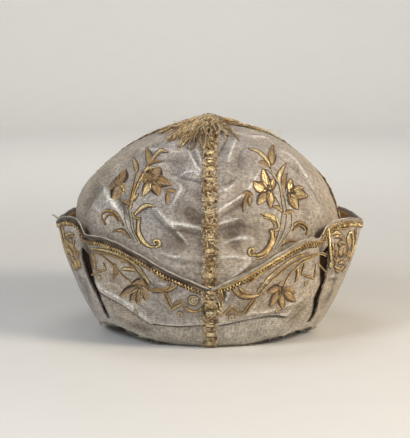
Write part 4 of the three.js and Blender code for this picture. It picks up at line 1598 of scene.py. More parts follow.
def slit_course(side):
    """Heights, compass angles and half widths in degrees of one side's slit, from its foot to its top."""
    places = SLITS[side]
    azimuth, height = CUFF.cast([place.pixel for place in places])
    half = np.array([place.width for place in places]) / 2
    radius = np.linalg.norm(CUFF.smooth(azimuth, height)[:, :2], axis=-1)
    order = np.argsort(height)
    angle = np.pad(abs(azimuth)[order], 1, "edge")
    calm = SLIT_CALM[side]
    calmed = (1 - 2 * calm) * angle[1:-1] + calm * (angle[:-2] + angle[2:])
    return height[order], calmed, np.degrees(half * MM / radius)[order]


def cuff_heights(azimuth, up):
    """Heights of the cuff's rows: two neighbouring rows follow the tuck."""
    angles, heights = np.concatenate(CUFF.tuck_lines(), axis=1)
    rim = rim_height(azimuth)
    tuck = rim + np.interp(azimuth, angles, heights - rim_height(angles))
    row = np.rint(up * CUFF_ROWS)
    low = tuck - TUCK_GAPE / 2 * MM
    high = tuck + TUCK_GAPE / 2 * MM
    below = rim + (low - rim) * row / TUCK_ROW
    above = high + (edge_height(azimuth) - high) * (row - TUCK_ROW - 1) / (CUFF_ROWS - TUCK_ROW - 1)
    return np.where(row <= TUCK_ROW, below, above)


def cuff_columns(side, across, up):
    """Compass angles and heights of the cuff's grid: two neighbouring columns follow the slit's lips."""
    heights, angles, halves = slit_course(side)
    sign = SIDES[side]
    front = np.full(across.shape, angles.mean())
    back = front.copy()
    for _ in range(SLIT_PASSES):
        height = cuff_heights(sign * front, up)
        middle = np.interp(height, heights, angles)
        half = np.interp(height, heights, halves, left=SLIT_CLOSED, right=SLIT_CLOSED)
        front = middle - half
        back = middle + half
    column = np.rint(across * CUFF_COLUMNS)
    share = column if sign > 0 else CUFF_COLUMNS - column
    seam = np.degrees(SEAM_GAP / SEAM_RADIUS)
    before = seam + (front - seam) * share / SLIT_COLUMN
    after = back + (180 - seam - back) * (share - SLIT_COLUMN - 1) / (CUFF_COLUMNS - SLIT_COLUMN - 1)
    azimuth = sign * np.where(share <= SLIT_COLUMN, before, after)
    return azimuth, cuff_heights(azimuth, up)


class CAP_OT_cuffs(bpy.types.Operator):
    """Make the two halves of the turned-up cuff, split at the slits and raw at the rim"""

    bl_idname = "cap.cuffs"
    bl_label = "Cuff halves"

    def execute(self, context):
        material = bpy.data.materials["worn_satin"]
        random = np.random.default_rng(5)
        for side in SIDES:
            piece, across, up = cloth_grid(f"silk_cuff_{side}", CUFF_COLUMNS, CUFF_ROWS)
            azimuth, height = cuff_columns(side, across, up)
            heights, angles, halves = slit_course(side)
            lip = np.radians(abs(azimuth) - np.interp(height, heights, angles)) * SLIT_RADIUS * MM
            gap = np.radians(np.interp(height, heights, halves)) * SLIT_RADIUS * MM
            past = np.maximum(abs(lip) - gap, 0)
            torn = smoothstep(height, heights[0], heights[0] + LIP_TEAR * MM)
            curl = np.exp(-past / (LIP_CURL_REACH * MM)) * torn * np.where(lip > 0, *LIP_CURLS) * MM
            torn_rim = RIM_TEAR * MM * (1 + ripple(CUFF.smooth(azimuth, height), RIM_TEAR_SIZE * MM, 6))
            ragged = np.where(up == 0, torn_rim + random.uniform(0, RIM_THREADS * MM, len(up)), 0)
            shape_cloth(piece, CUFF.at(azimuth, height + ragged, curl), cuff_cloth(azimuth, height))
            # Painted shade along the slits' torn lips
            lip_shade = np.exp(-past / (LIP_SHADE_REACH * MM)) * torn * LIP_SHADE
            self.wear(piece, side, azimuth, height, lip_shade)
            self.cut_slit(piece, side, across, height, heights)
            thicken(piece, SILK_THICKNESS * MM)
            settle(piece, material, (f"cuff_{side}",))
        return {"FINISHED"}

    def wear(self, piece, side, azimuth, height, lip_shade):
        """Marks the raw hem below the tuck, and paints the tuck's shadow, a highlight on its upper lip and
        shade below the top edge.
        """
        below, deep = CUFF.hem_share(azimuth, height)
        hem = step_mm(below, *HEM_START) * smoothstep(deep, *HEM_DEPTH)
        worn = 1 - step_mm(height - rim_height(azimuth), *RIM_WORN)
        marked = smoothstep(deep, *TUCK_MARKED)
        under = step_mm(below, *SHADOW_START) * (1 - step_mm(below, *SHADOW_END))
        # Painted highlight on the tuck's upper lip
        above = step_mm(-below, *LIT_LIP_START) * (1 - step_mm(-below, *LIT_LIP_END))
        # Painted shade below the top edge
        edge = EDGE_SHADE[side] * step_mm(height - edge_height(azimuth), *EDGE_SHADE_BAND[side])
        edge = edge * (1 - smoothstep(abs(azimuth), *EDGE_SHADE_END))
        shadow = np.maximum.reduce([SHADOW * under * marked, lip_shade, edge])
        shade_and_stain_marks(piece, CUFF, azimuth, height, shadow, LIT_LIP * above * marked)
        point_values(piece.data, "hem", np.maximum(hem, RIM_WORN_SHARE * worn))

    def cut_slit(self, piece, side, across, height, heights):
        """Deletes the faces between the slit's lips."""
        first = SLIT_COLUMN if side == "right" else CUFF_COLUMNS - SLIT_COLUMN - 1
        column = np.rint(across * CUFF_COLUMNS).astype(int)
        open_point = (height > heights[0]) & (height < heights[-1])
        bpy.ops.object.mode_set(mode="EDIT")
        bpy.ops.mesh.select_mode(type="FACE")
        bpy.ops.mesh.select_all(action="DESELECT")
        bpy.ops.object.mode_set(mode="OBJECT")
        for polygon in piece.data.polygons:
            corners = list(polygon.vertices)
            polygon.select = bool(column[corners].min() == first and open_point[corners].all())
        bpy.ops.object.mode_set(mode="EDIT")
        bpy.ops.mesh.delete(type="FACE")
        bpy.ops.object.mode_set(mode="OBJECT")


# Lining inside the cuff, and the dark strip behind each slit that paints the slit's shadow: millimetres and
# degrees
LINING_GRID = (110, 30)
LINING_MARGIN = 0.2  # from the seams
LINING_FOOT = 0.28  # share of the cuff's height
LINING_RISE = 0.7
BACKING_GRID = (8, 40)
BACKING_WIDTH = 14.0
BACKING_DROP = 2.0  # below the slit's foot
BACKING_GAP = 0.2
BACKING_THICKNESS = 0.2


class CAP_OT_lining(bpy.types.Operator):
    """Make the brown lining inside the cuff, and the dark strips behind the slits that paint their shadow"""

    bl_idname = "cap.lining"
    bl_label = "Cuff lining"

    def execute(self, context):
        silk = context.scene.cap_silk
        linen = lining_material("brown_linen", silk.lining_dark, silk.lining_light, 0.2)
        # Painted shadow: a near-black sheet behind each slit
        shaded = lining_material("dark_linen", silk.slit, [2 * value for value in silk.slit], 0.0)
        for side, sign in SIDES.items():
            piece, across, up = cloth_grid(f"linen_lining_{side}", *LINING_GRID)
            ends = LINING_MARGIN + (180 - 2 * LINING_MARGIN) * across
            azimuth = ends if sign > 0 else ends - 180
            rim = rim_height(azimuth)
            height = rim + (edge_height(azimuth) - rim) * (LINING_FOOT + LINING_RISE * up)
            self.lay(piece, azimuth, height, PIECE_GAP, LINING_THICKNESS)
            settle(piece, linen, (f"cuff_lining_{side}",))
            piece, across, up = cloth_grid(f"slit_backing_{side}", *BACKING_GRID)
            heights, angles, _ = slit_course(side)
            height = heights[0] - BACKING_DROP * MM + (heights[-1] - heights[0]) * up
            azimuth = sign * np.interp(height, heights, angles) + BACKING_WIDTH * (across - 0.5)
            self.lay(piece, azimuth, height, BACKING_GAP, BACKING_THICKNESS)
            settle(piece, shaded)
        return {"FINISHED"}

    def lay(self, piece, azimuth, height, gap, thickness):
        """Shapes a sheet behind the cuff's silk, for the linen lining and for the dark strips that paint the
        slits' shadow.
        """
        points = CUFF.at(azimuth, height, -(SILK_THICKNESS + gap) * MM)
        shape_cloth(piece, points, cuff_cloth(azimuth, height))
        thicken(piece, thickness * MM)


class Strip:
    """A narrow band on a face: places along and across it become points."""

    def __init__(self, surface, azimuth, measure):
        self.surface = surface
        self.azimuth = np.asarray(azimuth, float)
        self.course = np.asarray(measure, float)
        middle = surface.at(self.azimuth, self.course)
        self.along = lengths(middle)
        self.length = self.along[-1]
        way = unit(np.gradient(middle, axis=0))
        self.side = unit(np.cross(way, surface.normals(self.azimuth, self.course)))

    def points(self, along, across, height):
        """Points of the band and the face's normals there."""
        along = np.clip(along, 0, self.length)
        along, across, height = np.broadcast_arrays(along, across, height)
        azimuth = np.interp(along, self.along, self.azimuth)
        measure = np.interp(along, self.along, self.course)
        lift = height + PIECE_GAP * MM
        middle = self.surface.at(azimuth, measure, lift)
        side = np.stack([np.interp(along, self.along, self.side[:, axis]) for axis in range(3)], axis=-1)
        flat = middle + side * across[..., None]
        settled = self.surface.at(compass(flat), self.surface.measure(flat), lift)
        return settled, self.surface.normals(azimuth, measure)


CROWN_BRAID_ROWS = 90
CUFF_BRAID_ROWS = 40
CUFF_BRAID_FOOT = 0.8  # millimetres above the table


def crown_strip(name):
    """Band over a seam of the crown, from behind the cuff to the tassel."""
    measure = np.linspace(share_at(BRAID_FOOT * MM), share_from_top(BRAID_HEAD * MM), CROWN_BRAID_ROWS)
    return Strip(CROWN, seam_at(name, measure), measure)


def cuff_strip(name):
    """Band over the cuff's front or back seam."""
    height = np.linspace(CUFF_BRAID_FOOT * MM, CUFF_EDGE[0].height * MM, CUFF_BRAID_ROWS)
    return Strip(CUFF, np.full(CUFF_BRAID_ROWS, float(SEAMS[name].foot)), height)


# Lace of the seams: millimetres, and shares of the braid's half width for reaches and radii
GALLOON_PERIOD = 10.5  # between the groups of plain bars
GALLOON_THREAD = 0.31
GALLOON_BASE = 0.66  # share of the braid's width that its dark base takes
GALLOON_BASE_THICKNESS = 0.6
GALLOON_BASE_STEP = 2.5
LACE_AGES = (-0.3, -0.1, 0.0, 0.0, 0.3, 1.2, 1.7)
LACE_PATCH = 4.5  # size of its patches of tarnish
LACE_PATCH_AGE = 0.7
FRONT_LACE = (1.5, 1.0)  # tarnish of the base, and how finely the loops are set
SIDE_LACE = (0.9, 0.75)
EDGE_LOOPS = ((0.78, 2.1), (0.55, 2.2), (0.27, 3.0))  # reach of each row and pitch of its loops
LOOP_SIZES = (0.55, 1.25)
LOOP_HEIGHTS = (0.4, 1.2)
LOOP_SLANT = 0.8
LOOP_STRAY = 0.7
LOOP_WIDTH = 1.2
LOOP_SPARKLE = 0.4
RINGS = ((0.42, 0.0), (0.3, 0.4))  # radius and tarnish
RING_DRIFT = 1.2
RING_SQUASH = (0.7, 1.5)
RING_WOBBLE = 0.34
RING_SHIFT = 1.5
RING_ASIDE = 1.7
RING_HEIGHT = 0.8
RING_AGES = (-0.2, 0.3)
BAR_PLACES = (-1.5, -0.75, 0.0, 0.75, 1.5)
BAR_AGES = (-0.1, 0.4)
BARS_KEPT = 0.8
BAR_REACH = (0.4, 0.66)
BAR_STRAY = 0.5
STRAY_PITCH = 6.0
STRAY_RUN = 2.5


def weave_loops(joined, strip, random, fineness):
    """Feathered rows of loops at both sides of a lace."""
    half = BRAID_WIDTH / 2 * MM
    turn = ring_angles(9)
    for reach, pitch in EDGE_LOOPS:
        loops = int(fineness * strip.length / (pitch * MM))
        shape = (loops, 1)
        for side in (-1, 1):
            middle = (np.arange(loops) + random.uniform(0, 1, loops))[:, None] * strip.length / loops
            size = random.uniform(*LOOP_SIZES, shape) * MM
            slant = random.uniform(-LOOP_SLANT, LOOP_SLANT, shape)
            along = middle + size * (np.cos(turn) + slant * np.sin(turn))
            offset = side * reach * half + random.uniform(-LOOP_STRAY, LOOP_STRAY, shape) * MM
            across = np.clip(offset + LOOP_WIDTH * size * np.sin(turn), -half, half)
            points, normals = strip.points(along, across, random.uniform(*LOOP_HEIGHTS, shape) * MM)
            sparkle = LOOP_SPARKLE * np.sin(turn + random.uniform(0, 6, shape))
            patches = LACE_PATCH_AGE * ripple(points, LACE_PATCH * MM, 23)
            age = random.choice(LACE_AGES, shape) + sparkle + patches
            joined.cords(points, normals, GALLOON_THREAD * MM, age, 4, True)


def weave_rings(joined, strip, random, periods):
    """Squashed rings along the middle of a lace."""
    half = BRAID_WIDTH / 2 * MM
    shape = (periods, 1)
    period = strip.length / periods
    drift = random.uniform(-RING_DRIFT, RING_DRIFT, shape) * MM
    middle = ((np.arange(periods) + 0.5) * period)[:, None] + drift
    ring = ring_angles(16)
    for radius, tarnish in RINGS:
        squash = random.uniform(*RING_SQUASH, shape)
        wobble = 1 + RING_WOBBLE * np.sin(3 * ring + random.uniform(0, 6, shape))
        shift = random.uniform(-RING_SHIFT, RING_SHIFT, shape) * MM
        along = middle + shift + radius * half * squash * wobble * np.cos(ring)
        aside = random.uniform(-RING_ASIDE, RING_ASIDE, shape) * MM
        across = aside + radius * half * wobble * np.sin(ring)
        points, normals = strip.points(along, across, RING_HEIGHT * MM)
        age = tarnish + random.uniform(*RING_AGES, periods)
        joined.cords(points, normals, GALLOON_THREAD * MM, age, 4, True)


def weave_bars(joined, strip, random, periods):
    """Groups of plain bars across a lace, some of them worn away."""
    half = BRAID_WIDTH / 2 * MM
    period = strip.length / periods
    share = np.linspace(-1, 1, 6)
    bars = (np.arange(periods + 1) * period)[:, None] + np.array(BAR_PLACES) * MM
    age = random.uniform(*BAR_AGES, (periods + 1, 1)) + random.uniform(-0.1, 0.1, bars.shape)
    kept = (bars > 0) & (bars < strip.length) & (random.uniform(size=bars.shape) < BARS_KEPT)
    bars = bars[kept][:, None]
    reach = half * random.uniform(*BAR_REACH, bars.shape)
    along = bars + random.uniform(-BAR_STRAY, BAR_STRAY, bars.shape) * MM * share
    across = share * reach + random.uniform(-BAR_STRAY, BAR_STRAY, bars.shape) * MM
    points, normals = strip.points(along, across, (0.8 + 0.4 * (1 - share**2)) * MM)
    joined.cords(points, normals, 1.2 * GALLOON_THREAD * MM, age[kept], 4)


def weave_strays(joined, strip, random):
    """Loose threads at the edges of a lace."""
    half = BRAID_WIDTH / 2 * MM
    strays = int(strip.length / (STRAY_PITCH * MM))
    shape = (strays, 1)
    share = np.linspace(-1, 1, 6)
    middle = random.uniform(0, strip.length, shape)
    along = middle + random.uniform(-1, 1, shape) * STRAY_RUN * MM * share
    outward = np.where(random.uniform(size=shape) < 0.5, -1.0, 1.0)
    across = outward * half * (0.75 + 0.17 * (1 + share))
    points, normals = strip.points(along, across, (0.6 + 0.5 * share**2) * MM)
    joined.cords(points, normals, 0.7 * GALLOON_THREAD * MM, random.uniform(0, 0.5, strays), 4)


def braid_base(joined, strip, width, thickness, tarnish):
    """Dark cloth band under a lace."""
    along = np.linspace(0, strip.length, max(int(strip.length / (GALLOON_BASE_STEP * MM)), 8))
    profile = np.array([-1, -0.5, 0, 0.5, 1, 0.5, 0, -0.5]) * width / 2 * MM
    level = np.array([0.0, 1, 1, 1, 0, -0.6, -0.6, -0.6]) * thickness / 2 * MM
    points, _ = strip.points(along[:, None], profile, level)
    joined.rods(points[None], along[None], tarnish)


class CAP_OT_galloons(bpy.types.Operator):
    """Make the metal lace over the seams of the crown and the cuff"""

    bl_idname = "cap.galloons"
    bl_label = "Seam braids"

    def execute(self, context):
        gilt = context.scene.cap_gilt
        material = gilt_material("galloon_gilt", gilt, gilt.lace, gilt.twist, 0.32, 0.8)
        random = np.random.default_rng(21)
        strips = {f"crown_braid_{place}": crown_strip(place) for place in SEAMS}
        for place in ("front", "back"):
            strips[f"cuff_braid_{place}"] = cuff_strip(place)
        for node, strip in strips.items():
            joined = Joined()
            tarnish, fineness = FRONT_LACE if node.endswith("front") else SIDE_LACE
            periods = max(int(round(strip.length / (GALLOON_PERIOD * MM))), 1)
            braid_base(joined, strip, GALLOON_BASE * BRAID_WIDTH, GALLOON_BASE_THICKNESS, tarnish)
            weave_loops(joined, strip, random, fineness)
            weave_rings(joined, strip, random, periods)
            weave_bars(joined, strip, random, periods)
            weave_strays(joined, strip, random)
            joined.piece(f"{node}_lace", material, "metal_thread", (node,))
        return {"FINISHED"}


# Braid along the cuff's edge, in millimetres below the braid's middle or above the silk
EDGING_MARGIN = 3.4  # degrees from the seams, where the seam braids lie
EDGING_BASE = 0.9  # share of the braid's width that its dark base takes
EDGING_BASE_THICKNESS = 0.5
EDGING_BASE_TARNISH = 2.0
PICOT_PERIOD = 2.7  # between the small points of the braid
PICOT_TOP = -1.0
PICOT_FOOT = 2.2
PICOT_HEIGHT = 0.5
PICOT_THREAD = 0.4
PICOT_AGES = (-0.2, 0.0, 0.1, 0.3, 0.7)
PICOT_TARNISH = {"left": 0.12, "right": 0.08}
EDGE_CORDS = (-2.4, -1.5)
EDGE_CORD_HEIGHT = 0.35
EDGE_CORD_RADIUS = 0.45
EDGE_CORD_STEP = 1.5
EDGE_CORD_PATCH = 9.0  # size of its patches of wear
EDGE_CORD_WEAR = 0.3
EDGE_TARNISH = {"left": 1.85, "right": 0.3}


class CAP_OT_edging(bpy.types.Operator):
    """Make the braid along the cuff's edge, with a row of small points on its lower side"""

    bl_idname = "cap.edging"
    bl_label = "Edge braid"

    def execute(self, context):
        gilt = context.scene.cap_gilt
        material = gilt_material("edge_gilt", gilt, gilt.bright, gilt.twist)
        random = np.random.default_rng(31)
        for side, down in SIDES.items():
            azimuth, height = edge_course(side, EDGING_MARGIN)
            strip = Strip(CUFF, azimuth, height - EDGING_MIDDLE * MM)
            joined = Joined()
            base = EDGING_BASE * EDGING_WIDTH
            braid_base(joined, strip, base, EDGING_BASE_THICKNESS, EDGING_BASE_TARNISH)
            picots = int(strip.length / (PICOT_PERIOD * MM))
            middle = ((np.arange(picots) + 0.5) * strip.length / picots)[:, None]
            share = np.linspace(-1, 1, 5)
            along = middle + 0.5 * PICOT_PERIOD * MM * share
            across = down * (PICOT_TOP + (PICOT_FOOT - PICOT_TOP) * (1 - abs(share))) * MM
            points, normals = strip.points(along, across, PICOT_HEIGHT * MM)
            age = random.choice(PICOT_AGES, picots) + PICOT_TARNISH[side]
            joined.cords(points, normals, PICOT_THREAD * MM, age, 4)
            rows = np.linspace(0, strip.length, int(strip.length / (EDGE_CORD_STEP * MM)))
            for place in EDGE_CORDS:
                points, normals = strip.points(rows, down * place * MM, EDGE_CORD_HEIGHT * MM)
                worn = EDGE_CORD_WEAR * ripple(points, EDGE_CORD_PATCH * MM, 33)
                joined.cord(points, normals, EDGE_CORD_RADIUS * MM, EDGE_TARNISH[side] + worn)
            joined.piece(f"edge_braid_{side}", material, "metal_thread", (f"cuff_edging_{side}",))
        return {"FINISHED"}


# Piping, in millimetres
PIPING_MARGIN = 0.6  # degrees from the seams
PIPING_TWIST = 1.6
PIPING_INSET = 0.9
PIPING_RADIUS = (0.5, 0.1)  # and how uneven it is
PIPING_RISE = (0.5, 0.25)  # over the silk's edge, and how far it wanders
LOOSE_END = (-5.0, -1.5, 3.6)  # where its loose end reaches from the left corner
LOOSE_ARCH = (0.0, 0.0, 0.6)
LOOSE_RADIUS = (0.9, 0.45)  # at the corner, and what the end loses


class CAP_OT_piping(bpy.types.Operator):
    """Make the cream piping on the cuff's edge, with its loose end at the left corner"""

    bl_idname = "cap.piping"
    bl_label = "Edge piping"

    def execute(self, context):
        material = cream_material("cream_piping", context.scene.cap_silk, PIPING_TWIST * MM)
        for side in SIDES:
            joined = Joined()
            azimuth, height = edge_course(side, PIPING_MARGIN)
            points = CUFF.at(azimuth, height, -PIPING_INSET * MM)
            rise, wander = PIPING_RISE
            points[:, 2] += (rise + wander * ripple(points, 9 * MM, 41)) * MM
            radius, uneven = PIPING_RADIUS
            radius = (radius + uneven * ripple(points, 5 * MM, 42)) * MM
            joined.cord(points, CUFF.normals(azimuth, height), radius, 0.0, 8)
            if side == "left":
                self.loose_end(joined, points[np.argmin(points[:, 0])])
            joined.piece(f"piping_{side}", material, "silk")
        return {"FINISHED"}

    def loose_end(self, joined, corner):
        """The piping's end that has come away at a corner."""
        share = np.linspace(0, 1, 8)[:, None]
        points = corner + (share * np.array(LOOSE_END) + np.sin(share * 3) * np.array(LOOSE_ARCH)) * MM
        outward = np.broadcast_to((0.0, -1.0, 0.0), points.shape)
        thick, lost = LOOSE_RADIUS
        joined.cord(points, outward, (thick - lost * share[:, 0]) * MM, 0.0)


# Loose threads: millimetres and degrees
FRAY_TWIST = 0.8
FRAY_COUNT = 170
FRAY_REACH = 78.0  # either side of the front
FRAY_START = 1.6  # above the rim
FRAY_DROPS = (0.5, 3.2)
FRAY_LOWEST = 0.3
FRAY_STANDS = (0.1, 2.2)
FRAY_DRIFT = 1.6
FRAY_RADIUS = 0.16
SLIT_FRAYS = 26
SLIT_FRAY_START = 4.0  # above the slit's foot
SLIT_FRAY_REACH = (0.3, 1.0)
SLIT_FRAY_RISE = (-2.4, 1.0)
SLIT_FRAY_INSET = 0.5
SLIT_FRAY_RADIUS = 0.15


class CAP_OT_fray(bpy.types.Operator):
    """Make the loose threads of the raw rim and of the slits' torn lips"""

    bl_idname = "cap.fray"
    bl_label = "Frayed threads"

    def execute(self, context):
        material = cream_material("cream_threads", context.scene.cap_silk, FRAY_TWIST * MM)
        random = np.random.default_rng(61)
        joined = Joined()
        share = np.linspace(0, 1, 5)
        shape = (FRAY_COUNT, 1)
        azimuth = random.uniform(-FRAY_REACH, FRAY_REACH, shape)
        drop = random.uniform(*FRAY_DROPS, shape) * MM
        height = np.maximum(rim_height(azimuth) + FRAY_START * MM - drop * share, FRAY_LOWEST * MM)
        stand = (0.1 + random.uniform(*FRAY_STANDS, shape) * share**1.5) * MM
        azimuth = azimuth + random.normal(size=shape) * FRAY_DRIFT * share
        points = CUFF.at(azimuth, height, stand)
        joined.cords(points, CUFF.normals(azimuth, height), FRAY_RADIUS * MM, 0.0, 4)
        shape = (SLIT_FRAYS, 1)
        for side, sign in SIDES.items():
            heights, angles, halves = slit_course(side)
            level = random.uniform(heights[0] + SLIT_FRAY_START * MM, heights[-1], shape)
            lip = np.where(random.uniform(size=shape) < 0.5, -1.0, 1.0)
            start = np.interp(level, heights, angles) + lip * np.interp(level, heights, halves)
            azimuth = sign * (start - lip * random.uniform(*SLIT_FRAY_REACH, shape) * share)
            height = level + random.uniform(*SLIT_FRAY_RISE, shape) * share * MM
            points = CUFF.at(azimuth, height, -SLIT_FRAY_INSET * MM)
            joined.cords(points, CUFF.normals(azimuth, height), SLIT_FRAY_RADIUS * MM, 0.0, 4)
        joined.piece("frayed_threads", material, "silk")
        return {"FINISHED"}


# Shapes of the stitched pieces, in millimetres and shares
LEAF_ROWS = 12
LEAF_TOP = np.array([-1.0, -0.74, -0.42, -0.14, 0.0, 0.14, 0.42, 0.74, 1.0])
LEAF_UNDER = np.array([0.6, 0.0, -0.6])
LEAF_VEIN = 4  # which of the top's points is the vein
LEAF_CREST = 2  # which of them gets a painted highlight
CREST_HIGHLIGHT = 0.5  # share of the leaf's tarnish taken off there, as a painted highlight
LEAF_SINK = 0.1  # of the padding into the silk
LEAF_SEAT = 0.25  # of its underside into the silk
OUTLINE_HEIGHT = 0.25
# Tarnish of the dark outline cords round the leaves, partly painted shade, and of the painted shadows under
# cords and round spangles
OUTLINE_TARNISH_AND_SHADE = 1.8
OUTLINE_LIT_SIDE = 1.7  # painted light: tarnish taken off one side of a brown leaf's outline
VEIN_SHADE = 1.5  # painted shade in the vein's groove: tarnish more than the leaf's own
VEIN_SIDE_SHADE = 0.55  # the same for the points beside the vein
PETAL_ROOT = 0.5  # a leaf with a wider root than this is a flower's petal
PETAL_LIFT = 0.7  # that its outline rises at the flower's middle, over its neighbours
PETAL_REACH = (0.1, 0.6)  # shares of the petal between which it comes down again
CORD_STEP = 1.4  # pixels between the points of a cord
CORD_HEIGHT = 0.5
CORD_FULLNESS = 1.45  # how much thicker a cord looks than its core
CORD_SHADOW = 1.75  # width of the dark band under a cord that paints its shadow, against the cord's
CORD_SHADOW_HEIGHT = 0.3
SPANGLE_HEIGHT = 0.4
SPANGLE_POINTS = 16
SPANGLE_WIRE = 0.36
SPANGLE_TARNISH = -0.3
SPANGLE_SHADOW = (1.3, 0.3)  # radius of the dark ring of painted shadow round it against its own, and thickness
SPANGLE_INNER = 0.4  # radius of a wide spangle's second ring against its own
WIDE_SPANGLE = 2.5  # radius above which a spangle has a second ring


class Chart(NamedTuple):
    """A face's embroidery, placed by pixels, which the back wears mirrored."""

    surface: Surface
    leaves: tuple
    cords: tuple
    spangles: tuple = ()
    mirrored: bool = False

    def put(self, places, offset):
        """Points and normals of the face at chart places."""
        shape = places.shape[:-1]
        azimuth, measure = self.surface.cast(places.reshape(-1, 2))
        if self.mirrored:
            azimuth = 180 - azimuth
        offset = np.broadcast_to(offset, shape).ravel()
        points = self.surface.at(azimuth, measure, offset).reshape(*shape, 3)
        normals = self.surface.normals(azimuth, measure).reshape(*shape, 3)
        return points, normals


CHARTS = {
    ("crown", "left"): Chart(CROWN, CROWN_LEFT_LEAVES, CROWN_LEFT_CORDS),
    ("cuff", "left"): Chart(CUFF, CUFF_LEFT_LEAVES, CUFF_LEFT_CORDS, CUFF_LEFT_SPANGLES),
    ("crown", "right"): Chart(CROWN, CROWN_RIGHT_LEAVES, CROWN_RIGHT_CORDS),
    ("cuff", "right"): Chart(CUFF, CUFF_RIGHT_LEAVES, CUFF_RIGHT_CORDS, CUFF_RIGHT_SPANGLES),
}


def leaf_places(leaf):
    """Rows of a leaf: midline, the way across and half its width."""
    share = np.linspace(0, 1, LEAF_ROWS)
    midline = spline(leaf.places, share)
    way = unit(np.gradient(midline, axis=0))
    across = np.column_stack([-way[:, 1], way[:, 0]])
    pointed = 0.1 + 0.9 * np.sin(np.pi * share**0.85) ** 1.15
    half = leaf.width / 2 * np.maximum(pointed, leaf.root * (1 - share))
    return share, midline, across, half


def stitch_leaf(joined, chart, leaf, gilt, random):
    """Adds a padded leaf and the cord round it."""
    share, midline, across, half = leaf_places(leaf)
    swell = 0.3 + 0.7 * np.sin(np.pi * share) ** 0.6
    vein = 0.4 * np.exp(-((LEAF_TOP / 0.12) ** 2))
    dome = np.maximum(1 - LEAF_TOP**2, 0) ** 0.6 - vein
    top = gilt.padding * dome * swell[:, None] - LEAF_SINK * MM
    under = np.full((LEAF_ROWS, len(LEAF_UNDER)), -LEAF_SEAT * MM)
    spots = np.concatenate([LEAF_TOP, LEAF_UNDER])
    places = midline[:, None] + across[:, None] * (half[:, None] * spots)[..., None]
    points, _ = chart.put(places, np.concatenate([top, under], axis=1))
    run = lengths(points[:, LEAF_VEIN][None])
    shade = np.zeros((1, 1, len(spots)))
    shade[..., LEAF_CREST] = -CREST_HIGHLIGHT * max(leaf.tarnish, 0)
    shade[..., LEAF_VEIN - 1 : LEAF_VEIN + 2] = (VEIN_SIDE_SHADE, VEIN_SHADE, VEIN_SIDE_SHADE)
    age = leaf.tarnish + random.uniform(-0.05, 0.05)
    joined.rods(points[None], run, age + shade)
    rim = np.concatenate([midline + across * half[:, None], (midline - across * half[:, None])[::-1]])
    lift = PETAL_LIFT * (1 - smoothstep(share, *PETAL_REACH)) * (leaf.root > PETAL_ROOT)
    loop, normals = chart.put(rim, (OUTLINE_HEIGHT + np.concatenate([lift, lift[::-1]])) * MM)
    lit_rim = OUTLINE_TARNISH_AND_SHADE - OUTLINE_LIT_SIDE * np.clip(leaf.tarnish, 0, 1)
    joined.cord(loop, normals, gilt.outline, np.repeat((OUTLINE_TARNISH_AND_SHADE, lit_rim), LEAF_ROWS), 4, True)


def stitch_cord(joined, chart, cord):
    """Adds a couched cord on a dark band that paints its shadow."""
    reach = lengths(np.asarray(cord.places, float))[-1]
    places = spline(cord.places, np.linspace(0, 1, max(int(reach / CORD_STEP), 4)))
    points, normals = chart.put(places, CORD_SHADOW_HEIGHT * MM)
    taper = 0.55 + 0.45 * np.sin(np.pi * np.linspace(0.06, 0.94, len(points))) ** 0.5
    thick = cord.thickness / 2 * MM * CORD_FULLNESS * taper
    raised = points + (CORD_HEIGHT - CORD_SHADOW_HEIGHT) * MM * normals
    joined.cord(raised, normals, thick, cord.tarnish)
    joined.cord(points, normals, CORD_SHADOW * thick, OUTLINE_TARNISH_AND_SHADE, 4, False, 0.3)


def stitch_spangle(joined, chart, spangle):
    """Adds a spangle's ring on a dark ring of painted shadow, and a second ring in a wide one."""
    middle, normal = chart.put(np.array([spangle.place], float), SPANGLE_HEIGHT * MM)
    east = unit(np.cross((0.0, 0.0, 1.0), normal[0]))
    up = np.cross(normal[0], east)
    turn = ring_angles(SPANGLE_POINTS)[:, None]
    ground_and_shade, shadow_wire = SPANGLE_SHADOW
    rings = [(1.0, SPANGLE_WIRE, SPANGLE_TARNISH), (ground_and_shade, shadow_wire, OUTLINE_TARNISH_AND_SHADE)]
    if spangle.radius > WIDE_SPANGLE:
        rings.append((SPANGLE_INNER, SPANGLE_WIRE, SPANGLE_TARNISH))
    for share, wire, tarnish in rings:
        ring = middle + share * spangle.radius * MM * (np.cos(turn) * east + np.sin(turn) * up)
        joined.cord(ring, np.repeat(normal, SPANGLE_POINTS, 0), wire * MM, tarnish, 4, True)


class CAP_OT_embroidery(bpy.types.Operator):
    """Make the gilt embroidery of the crown and the cuff; the back repeats the front"""

    bl_idname = "cap.embroidery"
    bl_label = "Embroidery"

    def execute(self, context):
        gilt = context.scene.cap_gilt
        material = gilt_material("embroidery_gilt", gilt, gilt.bright, 0.7 * gilt.twist, metal_bright=0.7)
        random = np.random.default_rng(51)
        for part in ("front", "back"):
            for (place, side), chart in CHARTS.items():
                joined = Joined()
                chart = chart._replace(mirrored=part == "back")
                for leaf in chart.leaves:
                    stitch_leaf(joined, chart, leaf, gilt, random)
                for cord in chart.cords:
                    stitch_cord(joined, chart, cord)
                for spangle in chart.spangles:
                    stitch_spangle(joined, chart, spangle)
                joined.piece(f"embroidery_{place}_{part}_{side}", material, "metal_thread")
        return {"FINISHED"}


class Fan(NamedTuple):
    """A spray of the tassel: compass angle, spread, length against the usual, and share of the strands."""

    azimuth: float
    spread: float
    length: float
    share: float


class Wisp(NamedTuple):
    """A loose strand: compass angle, swing, where it starts and ends from the top, and its lift there."""

    azimuth: float
    swing: float
    start: float
    end: float
    lift: float
    tarnish: float


